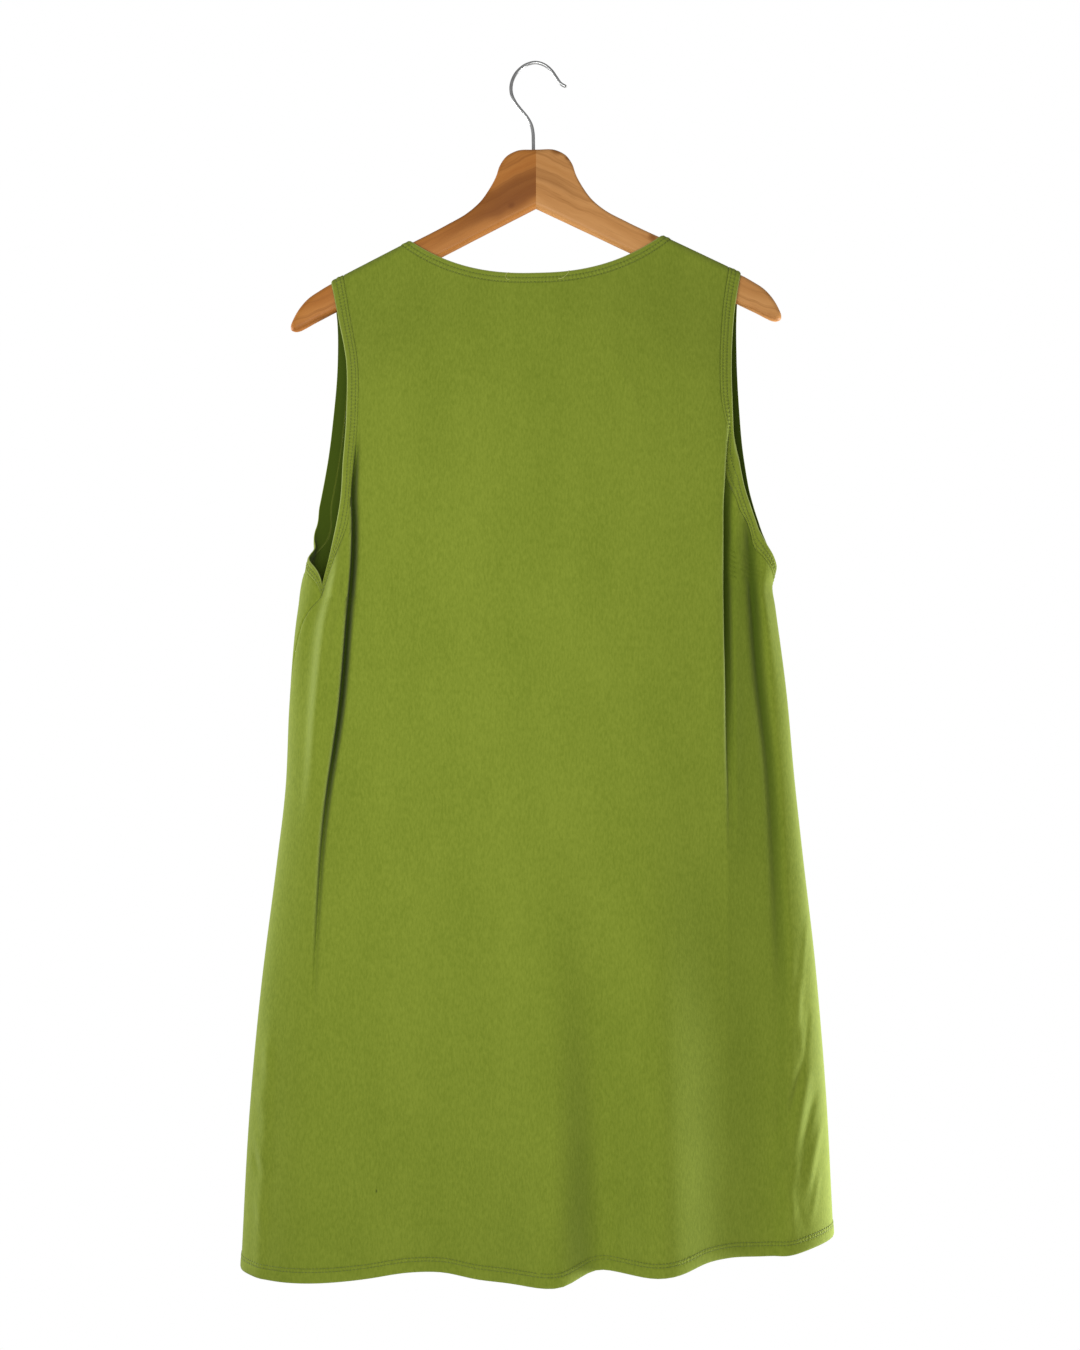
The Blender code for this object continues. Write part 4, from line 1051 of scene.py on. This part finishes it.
def panel_grid(front):
    """Angles and levels of a panel's rows and columns, hem to shoulder and side to side."""
    share_up = 1.0 - np.linspace(1.0, 0.0, YOKE_ROWS + 1) ** ROW_CROWDING
    band_foot = UNDERARM_Z - ARMHOLE_BAND - 2.0 * SEAM_HALF_GAP
    body_rows = np.linspace(HEM_Z + HEM_HEIGHTS[-1], band_foot, BODY_ROWS)
    levels = np.concatenate((HEM_Z + HEM_HEIGHTS[:-1], body_rows))
    left_degrees, side_levels = side_edge("left", front, share_up, levels)
    right_degrees, side_levels = side_edge("right", front, share_up, levels)
    neck_x, neck_z = neck_curve(front, NECK_BAND + 2.0 * SEAM_HALF_GAP)
    corner = float(degrees_at(neck_x[-1], neck_z[-1], False))
    whole = left_degrees[-1] + right_degrees[-1]
    left_corner = (left_degrees[-1] - corner) / whole
    right_corner = 1.0 - (right_degrees[-1] - corner) / whole
    even = np.linspace(0.0, 1.0, NECK_COLUMNS + 1)
    eased = 0.5 - 0.5 * np.cos(math.pi * even)
    over = NECK_COLUMNS_EASED * eased + (1.0 - NECK_COLUMNS_EASED) * even
    shares = np.concatenate((
        np.linspace(0.0, left_corner, SHOULDER_COLUMNS + 1)[:-1],
        left_corner + (right_corner - left_corner) * over,
        np.linspace(right_corner, 1.0, SHOULDER_COLUMNS + 1)[1:],
    ))
    degrees = -left_degrees[:, None] * (1.0 - shares) + right_degrees[:, None] * shares
    grid_levels = np.repeat(side_levels[:, None], len(shares), axis=1)
    yoke = len(levels) - 1
    if not front:
        whole_rows = np.arange(len(side_levels))[:, None] / (len(side_levels) - 1.0)
        pull = smooth((1.0 - whole_rows) / CROWD_FADE)
        degrees = degrees + (crowded(degrees, side_levels[:, None]) - degrees) * pull
    top_x = section("centre", side_levels[-1])
    top_x = top_x + section("half_width", side_levels[-1]) * np.sin(np.radians(degrees[-1]))
    top_z = top_line(front, top_x)
    rise = (side_levels[yoke:] - side_levels[yoke]) / (side_levels[-1] - side_levels[yoke])
    grid_levels[yoke:] = side_levels[yoke] + (top_z - side_levels[yoke]) * rise[:, None]
    if front:
        degrees = 180.0 - degrees
    return degrees, grid_levels


def grid_faces(rows, columns, first, flip):
    """Quads between the rows and columns of a grid of points whose first has the given number."""
    row, col = np.meshgrid(np.arange(rows - 1), np.arange(columns - 1), indexing="ij")
    corner = first + row * columns + col
    quad = np.stack((corner, corner + 1, corner + columns + 1, corner + columns), axis=-1)
    quad = quad.reshape(-1, 4)
    return quad[:, ::-1] if flip else quad


def rim(rows, columns):
    """The grid's border indices in order, once round."""
    bottom = np.arange(columns)
    right = np.arange(1, rows) * columns + columns - 1
    top = (rows - 1) * columns + np.arange(columns - 2, -1, -1)
    left = np.arange(rows - 2, 0, -1) * columns
    return np.concatenate((bottom, right, top, left))


def running_length(points, axis=0):
    """Length walked up to each point of a line or, with an axis of one, of each row of a grid."""
    first = np.take(points, [0], axis=axis)
    return np.linalg.norm(np.diff(points, axis=axis, prepend=first), axis=-1).cumsum(axis=axis)


def make_panel(name, front, finish):
    """A closed wall of cloth between its inner face and the same points moved out by its
    thickness, joined round the border. The turned hem is thicker."""
    degrees, levels = panel_grid(front)
    inner = cloth(degrees, levels)
    height = levels - HEM_Z
    turned = smooth((HEM_TURN + HEM_EASE_ABOVE - height) / HEM_EASE_OVER)
    thick = WALL + (HEM_WALL - WALL) * turned
    for row in HEM_STITCH_ROWS:
        thick = thick - STITCH_DIP * np.exp(-(((height - row) / STITCH_DIP_WIDTH) ** 2))
    thick = thick * (1.0 - HEM_FOOT_THINS * np.exp(-((height / HEM_FOOT_HEIGHT) ** 2)))
    thick[:, :1] *= SEAM_PINCH
    thick[:, -1:] *= SEAM_PINCH
    outer = inner + outward(degrees, levels) * thick[..., None]
    rows, columns = inner.shape[:2]
    count = rows * columns
    border = rim(rows, columns)
    following = np.roll(border, -1)
    side = np.stack((following, border, border + count, following + count), axis=-1)
    faces = np.concatenate((
        grid_faces(rows, columns, 0, front),
        grid_faces(rows, columns, count, not front),
        side[:, ::-1] if front else side,
    ))
    points = tilted(np.concatenate((outer.reshape(-1, 3), inner.reshape(-1, 3))))
    run = running_length(outer, axis=1)
    # The back's outside carries the painted fold shade and crest highlight, the front's none.
    fold_painted_light = np.zeros(run.shape) if front else painted_fold_shade_and_highlight(degrees, levels)
    hem = np.stack((run * MM, height * MM, fold_painted_light), axis=-1).reshape(-1, 3)
    # The inside faces get full painted shade, a little of it the purl side's own duller tone.
    inside = np.where((True, True, False), hem, 1.0)
    made = mesh_piece(name, points, faces, finish, {"hem": np.concatenate((hem, inside))})
    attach(made, "root")
    return made


jersey = cotton_jersey("washed_cotton_jersey", "#91a134", "#7b8d24", True)
back = make_panel("dress_back", False, jersey)
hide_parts("back_panel")

# The front: a panel of the same jersey and flare, its round neck cut deeper. It hangs from the
# same shoulder seams and is joined to the back down the sides.
front_sheet = make_panel("dress_front", True, jersey)
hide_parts("front_panel")

# The neck's edge: a narrow jersey binding turned over the raw edge and sewn down with a twin
# needle, which draws it into small puckers between its two rows. Two tacks of paler thread, where
# a label was sewn on, still cross it at the back.
BAND_STATIONS = 900
NECK_STITCH_ROWS = (4.3, 8.3)
# The band's thickness, the width over which it eases to the panel's at the seam, and how much and
# over what width its turned edge thins. A pucker never leaves it thinner than the least wall.
BAND_WALL = 1.6
BAND_SEAM_EASE = 1.6
BAND_EDGE_THINS = 0.45
BAND_EDGE_WIDTH = 0.8
BAND_LEAST_WALL = 0.25
# How strong the painted highlight along the band's free edge is.
BAND_EDGE_PAINTED_HIGHLIGHT = 0.35
# Samples across the band from its edge, and beside each row of stitches.
BAND_EDGE_SAMPLES = (0.0, 0.4, 1.1, 2.1)
BAND_ROW_SAMPLES = (-0.9, -0.4, 0.0, 0.4, 0.9)
# The puckers' height and width, how much and over what length they swell and fade, and how much
# and over what length their pitch wanders.
PUCKER_HEIGHT = 0.42
PUCKER_REACH = 2.9
PUCKER_SWELL = 0.28
PUCKER_SWELL_LENGTH = 23.0
PUCKER_WANDER = 1.4
PUCKER_WANDER_LENGTH = 19.0
STITCH_PITCH = 3.0
STITCH_LENGTH = 2.3
STITCH_RADIUS = 0.34
STITCH_SIDES = 6
STITCH_LIFT = 0.2
# A bead of thread, as shares: places along its length, with its thickness and its rise there.
STITCH_BEAD = np.array((
    (-0.5, 0.35, -0.3),
    (-0.34, 0.9, 0.0),
    (0.0, 1.0, 0.12),
    (0.34, 0.9, 0.0),
    (0.5, 0.35, -0.3),
))
TACK_RADIUS = 0.32
TACK_LIFT = 0.35
TACK_POINTS = 40
TACK_SIDES = 8
# The tacks as places across the back and down from the neck's edge.
TACKS = (
    ((-24.0, 0.3), (-26.0, 1.2), (-26.8, 3.2), (-26.6, 5.4), (-25.2, 6.6), (-23.4, 6.4)),
    ((29.6, -0.1), (28.6, 2.2), (26.8, 4.2), (24.4, 5.8), (21.8, 6.8), (20.0, 6.2)),
)
jersey_band = cotton_jersey("jersey_binding", "#8f9f36", "#84942b", False)


def sewing_thread(name, hex_colour):
    """Spun polyester thread, 0.3 mm thick in truth and drawn 0.7 mm thick so that it shows: satin,
    with the twist of its plies as fine slanting lines 0.6 mm apart."""
    made, tree, shader = new_finish(name, Roughness=0.6, Sheen_Weight=0.1)
    place = add_node(tree, "TexCoord").outputs["Object"]
    slant = add_node(tree, "Mapping", {"Vector": place, "Rotation": (0.0, 0.6, 0.0)})
    twist = add_node(tree, "TexWave", {"Vector": slant.outputs[0], "Scale": 520.0})
    shade = tuple(0.72 * part for part in linear(hex_colour)[:3]) + (1.0,)
    tone = add_node(tree, "Mix", {
        0: twist.outputs["Fac"], 6: shade, 7: linear(hex_colour)}, data_type="RGBA")
    tree.links.new(tone.outputs[2], shader.inputs["Base Color"])
    return made


matched_thread = sewing_thread("matched_sewing_thread", "#76862c")
pale_thread = sewing_thread("pale_tacking_thread", "#c6cd6e")


def even_shares(points):
    """Shares of a curve's samples at which it is walked in equal steps, by its running length."""
    run = running_length(points)
    steps = np.linspace(0.0, run[-1], BAND_STATIONS // 2)
    return np.interp(steps, run, np.linspace(0.0, 1.0, len(points)))


def band_heights(across, width, rows):
    """The band's thickness across it: rounded down at the free edge, full at its crown, dipped at
    each row of stitches and down to the panel's thickness at the seam."""
    thick = WALL + (BAND_WALL - WALL) * smooth((width - across) / BAND_SEAM_EASE)
    thick = thick * (1.0 - BAND_EDGE_THINS * np.exp(-((across / BAND_EDGE_WIDTH) ** 2)))
    for row in rows:
        thick = thick - STITCH_DIP * np.exp(-(((across - row) / STITCH_DIP_WIDTH) ** 2))
    return thick


def band_piece(name, place_at, width, rows, finish, flip):
    """A band's closed tube: its outside across at each station, then its inside back again. The
    outside is drawn into ridges between the stitches, a sine of the running length that swells
    and fades a little along the seam."""
    between = 0.5 * sum(rows)
    beside_rows = [row + step for row in rows for step in BAND_ROW_SAMPLES]
    across = np.unique((*BAND_EDGE_SAMPLES, width, between, *beside_rows))
    across = across[across <= width]
    places = [place_at(step) for step in across]
    inside = np.stack([cloth(degrees, level) for degrees, level in places], axis=1)
    normal = np.stack([outward(degrees, level) for degrees, level in places], axis=1)
    run = running_length(inside[:, len(across) // 2])
    swell = 1.0 - PUCKER_SWELL + PUCKER_SWELL * np.sin(run / PUCKER_SWELL_LENGTH + 1.0)
    wander = PUCKER_WANDER * np.sin(run / PUCKER_WANDER_LENGTH)
    wave = np.sin(2.0 * math.pi * run / PUCKER_PITCH + wander) * swell
    reach = np.exp(-(((across - between) / PUCKER_REACH) ** 2))
    thick = band_heights(across, width, rows) + PUCKER_HEIGHT * wave[:, None] * reach
    outside = inside + normal * np.maximum(thick, BAND_LEAST_WALL)[..., None]
    rings = np.concatenate((outside, inside[:, ::-1]), axis=1)
    # Painted shade on the band's inside, mostly, with a little of the purl side's duller tone.
    band_painted_light = np.zeros(rings.shape)
    band_painted_light[:, len(across) + 1:-1, 2] = 1.0
    # Painted highlight along the band's free edge on the outside.
    band_painted_light[:, :2, 2] = -BAND_EDGE_PAINTED_HIGHLIGHT
    if flip:
        rings = rings[:, ::-1]
        band_painted_light = band_painted_light[:, ::-1]
    stations, around = rings.shape[:2]
    faces = ring_faces(stations, around, True)
    made = mesh_piece(name, tilted(rings.reshape(-1, 3)), faces, finish, {
        "hem": band_painted_light.reshape(-1, 3)})
    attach(made, "root")
    return made


def read_along(vectors, run, steps):
    """Vectors given at a line's running lengths, read at other lengths along it."""
    return np.stack([np.interp(steps, run, part) for part in vectors.T], axis=1)


def stitches(name, lines):
    """Short beads of thread along closed lines: at each even step a round-ended bead lies along
    the line, its ends dipped into the cloth. A line is its points and the normals there."""
    turn = np.linspace(0.0, 2.0 * math.pi, STITCH_SIDES, endpoint=False)
    along, thick, lift = STITCH_BEAD.T * ((STITCH_LENGTH,), (STITCH_RADIUS,), (STITCH_RADIUS,))
    sets = []
    for points, normals in lines:
        run = running_length(points)
        steps = np.arange(0.5 * STITCH_PITCH, run[-1] - 0.5 * STITCH_PITCH, STITCH_PITCH)
        centre = read_along(points, run, steps)
        up = read_along(normals, run, steps)
        ahead = unit(read_along(points, run, steps + 0.5) - read_along(points, run, steps - 0.5))
        beside = np.cross(up, ahead)
        bead = centre[:, None, None] + along[:, None, None] * ahead[:, None, None]
        bead = bead + (thick[:, None] * np.cos(turn))[..., None] * beside[:, None, None]
        rise = lift[:, None] + thick[:, None] * np.sin(turn)
        sets.append(bead + rise[..., None] * up[:, None, None])
    beads = np.concatenate(sets)
    size = len(along) * STITCH_SIDES
    one = np.concatenate((
        ring_faces(len(along), STITCH_SIDES, False),
        cap_faces(STITCH_SIDES, 0, True),
        cap_faces(STITCH_SIDES, size - STITCH_SIDES, False),
    ))[:, ::-1]
    faces = (one[None] + size * np.arange(len(beads))[:, None, None]).reshape(-1, 4)
    made = mesh_piece(name, tilted(beads.reshape(-1, 3)), faces, matched_thread)
    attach(made, "root")
    return made


def stitch_line(places, thick):
    """Points and normals of a line of stitches that lies on the cloth's outside."""
    degrees, level = places
    normals = outward(degrees, level)
    return cloth(degrees, level) + normals * thick, normals


def neck_places(across):
    """The band's row at a distance across it: the back from left to right, then the front back
    again, in equal steps along each."""
    halves = []
    for front in (False, True):
        x, z = neck_curve(front, across)
        fine = np.linspace(-1.0, 1.0, NECK_CURVE_STEPS + 1)
        points = cloth(degrees_at(x, z, front), z)
        share = np.interp(even_shares(points), np.linspace(0.0, 1.0, len(fine)), fine)
        if front:
            share = share[::-1]
        level = np.interp(share, fine, z)
        halves.append(np.array((degrees_at(np.interp(share, fine, x), level, front), level)))
    return np.concatenate(halves, axis=1)


neck = band_piece(
    "neck_binding_cloth", neck_places, NECK_BAND, NECK_STITCH_ROWS, jersey_band, False)
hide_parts("neck_binding")
neck_groove = band_heights(np.array(NECK_STITCH_ROWS), NECK_BAND, NECK_STITCH_ROWS)
neck_sewing = stitches("neck_twin_stitching", [
    stitch_line(neck_places(row), thick + STITCH_LIFT)
    for row, thick in zip(NECK_STITCH_ROWS, neck_groove)])
for number, places in enumerate(TACKS, 1):
    line = smooth_route(np.array(places), np.linspace(0.0, 1.0, TACK_POINTS))
    edge_z = np.interp(line[:, 0], *neck_curve(False, 0.0))
    level = edge_z - line[:, 1]
    degrees = degrees_at(line[:, 0], level, False)
    on_cloth = cloth(degrees, level) + outward(degrees, level) * (BAND_WALL + TACK_LIFT)
    tack = round_wire(
        f"label_tack_{number}", tilted(on_cloth), np.full(TACK_POINTS, TACK_RADIUS), TACK_SIDES,
        pale_thread)
    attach(tack, "root")

# The armholes' edges: the same narrow binding is turned over the raw edge right round each armhole
# and sewn down with the same twin needle.
ARMHOLE_SAMPLES = 700
ARMHOLE_STITCH_ROWS = (4.4, 7.8)


def armhole_rows(side):
    """A function that gives the band's row at a distance across it: up the back from the
    underarm and down the front, in equal steps along each."""
    fine = np.linspace(0.0, 1.0, ARMHOLE_SAMPLES)
    shares = []
    for front in (False, True):
        outwards, level = armhole_curve(side, front, 0.5 * ARMHOLE_BAND, fine)
        shares.append(even_shares(cloth(side_angle(side, front, outwards), level)))

    def places(across):
        """Angles and levels of the band's row at a distance across it."""
        halves = []
        for front, share in zip((False, True), shares):
            outwards, level = armhole_curve(side, front, across, share)
            halves.append(np.array((side_angle(side, front, outwards), level)))
        up_back, up_front = halves
        return np.concatenate((up_back, up_front[:, -2:0:-1]), axis=1)

    return places


armhole_groove = band_heights(np.array(ARMHOLE_STITCH_ROWS), ARMHOLE_BAND, ARMHOLE_STITCH_ROWS)
for side in ("left", "right"):
    places = armhole_rows(side)
    band = band_piece(
        "armhole_binding_cloth_" + side, places, ARMHOLE_BAND, ARMHOLE_STITCH_ROWS, jersey_band,
        side == "right")
    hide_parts("armhole_binding_" + side)
    sewing = stitches(f"armhole_twin_stitching_{side}", [
        stitch_line(places(row), thick + STITCH_LIFT)
        for row, thick in zip(ARMHOLE_STITCH_ROWS, armhole_groove)])

# The hem's stitching: two rows of the same thread right round the foot of the dress, which hold
# the turned edge of both panels.
HEM_LINE_POINTS = 2400
HEM_STITCH_LIFT = 0.1
hem_degrees = np.linspace(0.0, 360.0, HEM_LINE_POINTS)
hem_lines = []
for row in HEM_STITCH_ROWS:
    places = (hem_degrees, np.full(HEM_LINE_POINTS, HEM_Z + row))
    hem_lines.append(stitch_line(places, HEM_WALL - STITCH_DIP + HEM_STITCH_LIFT))
hem_sewing = stitches("hem_twin_stitching", hem_lines)

# The studio: a plain white floor that fades into a white surround, a large soft light in front,
# and one at each side that grazes what turns away.
FLOOR_Z = -1.60
FLOOR_RADIUS = 1.10
FLOOR_WHOLE = 0.3
FLOOR_SIDES = 64
floor_turn = np.linspace(0.0, 2.0 * math.pi, FLOOR_SIDES, endpoint=False)
floor_rim = np.stack((
    FLOOR_RADIUS * np.cos(floor_turn), FLOOR_RADIUS * np.sin(floor_turn),
    np.full(FLOOR_SIDES, FLOOR_Z)), axis=1)
floor_mesh = bpy.data.meshes.new("studio_floor")
floor_mesh.from_pydata(floor_rim.tolist(), [], [list(range(FLOOR_SIDES))])
floor = bpy.data.objects.new("studio_floor", floor_mesh)
bpy.context.scene.collection.objects.link(floor)
floor_finish, floor_tree, floor_shader = new_finish("matt_white_floor", Roughness=0.9)
floor_shader.inputs["Base Color"].default_value = linear("#fbfbfb")
floor_shader.inputs["Emission Color"].default_value = (1.0, 1.0, 1.0, 1.0)
floor_shader.inputs["Emission Strength"].default_value = 0.08
floor_place = add_node(floor_tree, "TexCoord").outputs["Object"]
floor_flat = add_node(floor_tree, "VectorMath", {
    0: floor_place, 1: (1.0, 1.0, 0.0)}, operation="MULTIPLY")
floor_far = add_node(floor_tree, "VectorMath", {0: floor_flat.outputs[0]}, operation="LENGTH")
floor_fade = add_node(floor_tree, "MapRange", {
    "Value": floor_far.outputs["Value"], "From Min": FLOOR_RADIUS,
    "From Max": FLOOR_WHOLE},
    interpolation_type="SMOOTHSTEP")
floor_tree.links.new(floor_fade.outputs[0], floor_shader.inputs["Alpha"])
floor_mesh.materials.append(floor_finish)

# The surround is white to the camera and lights the dress more faintly.
SURROUND_LIGHT = 0.26
world = bpy.data.worlds.new("white_surround")
bpy.context.scene.world = world
world.use_nodes = True
surround = world.node_tree
surround.nodes.clear()
seen = add_node(surround, "LightPath")
strength = add_node(surround, "MapRange", {
    "Value": seen.outputs["Is Camera Ray"], "To Min": SURROUND_LIGHT, "To Max": 1.0})
glow = add_node(surround, "Background", {
    "Color": (1.0, 1.0, 1.0, 1.0), "Strength": strength.outputs[0]})
world_out = surround.nodes.new("ShaderNodeOutputWorld")
surround.links.new(glow.outputs[0], world_out.inputs[0])


def soft_light(name, place, aim, size, watts):
    """A square area light at a place, turned to face a point, that no camera sees."""
    data = bpy.data.lights.new(name, "AREA")
    data.size = size
    data.energy = watts
    made = bpy.data.objects.new(name, data)
    made.location = place
    towards = made.location.copy()
    towards[:] = [end - start for start, end in zip(place, aim)]
    made.rotation_euler = towards.to_track_quat("-Z", "Y").to_euler()
    made.visible_camera = False
    bpy.context.scene.collection.objects.link(made)


soft_light("front_light", (-0.20, -1.05, -0.48), (0.0, 0.0, -0.52), 0.7, 7.1)
soft_light("left_light", (-1.25, 0.50, -0.50), (0.0, 0.0, -0.65), 0.5, 14.5)
soft_light("right_light", (1.20, 0.42, -1.10), (0.0, 0.0, -1.00), 0.5, 28.0)

# The camera stands 1.6 m behind the wearer's back, level with the waist. Its frame is upright, and
# the whole dress and its hanger fill most of its height, as in the photograph.
CAMERA_DISTANCE = 1.6
CAMERA_ASIDE = 0.0036
CAMERA_HEIGHT = -0.5497
FRAME_HEIGHT = 1.215
SENSOR = 36.0
camera_data = bpy.data.cameras.new("camera")
camera_data.sensor_fit = "VERTICAL"
camera_data.sensor_height = SENSOR
camera_data.sensor_width = SENSOR
camera_data.lens = SENSOR * CAMERA_DISTANCE / FRAME_HEIGHT
camera_data.clip_start = 0.05
camera = bpy.data.objects.new("camera", camera_data)
camera.location = (CAMERA_ASIDE, -CAMERA_DISTANCE, CAMERA_HEIGHT)
camera.rotation_euler = (math.radians(90.0), 0.0, 0.0)
bpy.context.scene.collection.objects.link(camera)
bpy.context.scene.camera = camera
bpy.context.scene.view_settings.view_transform = "Standard"
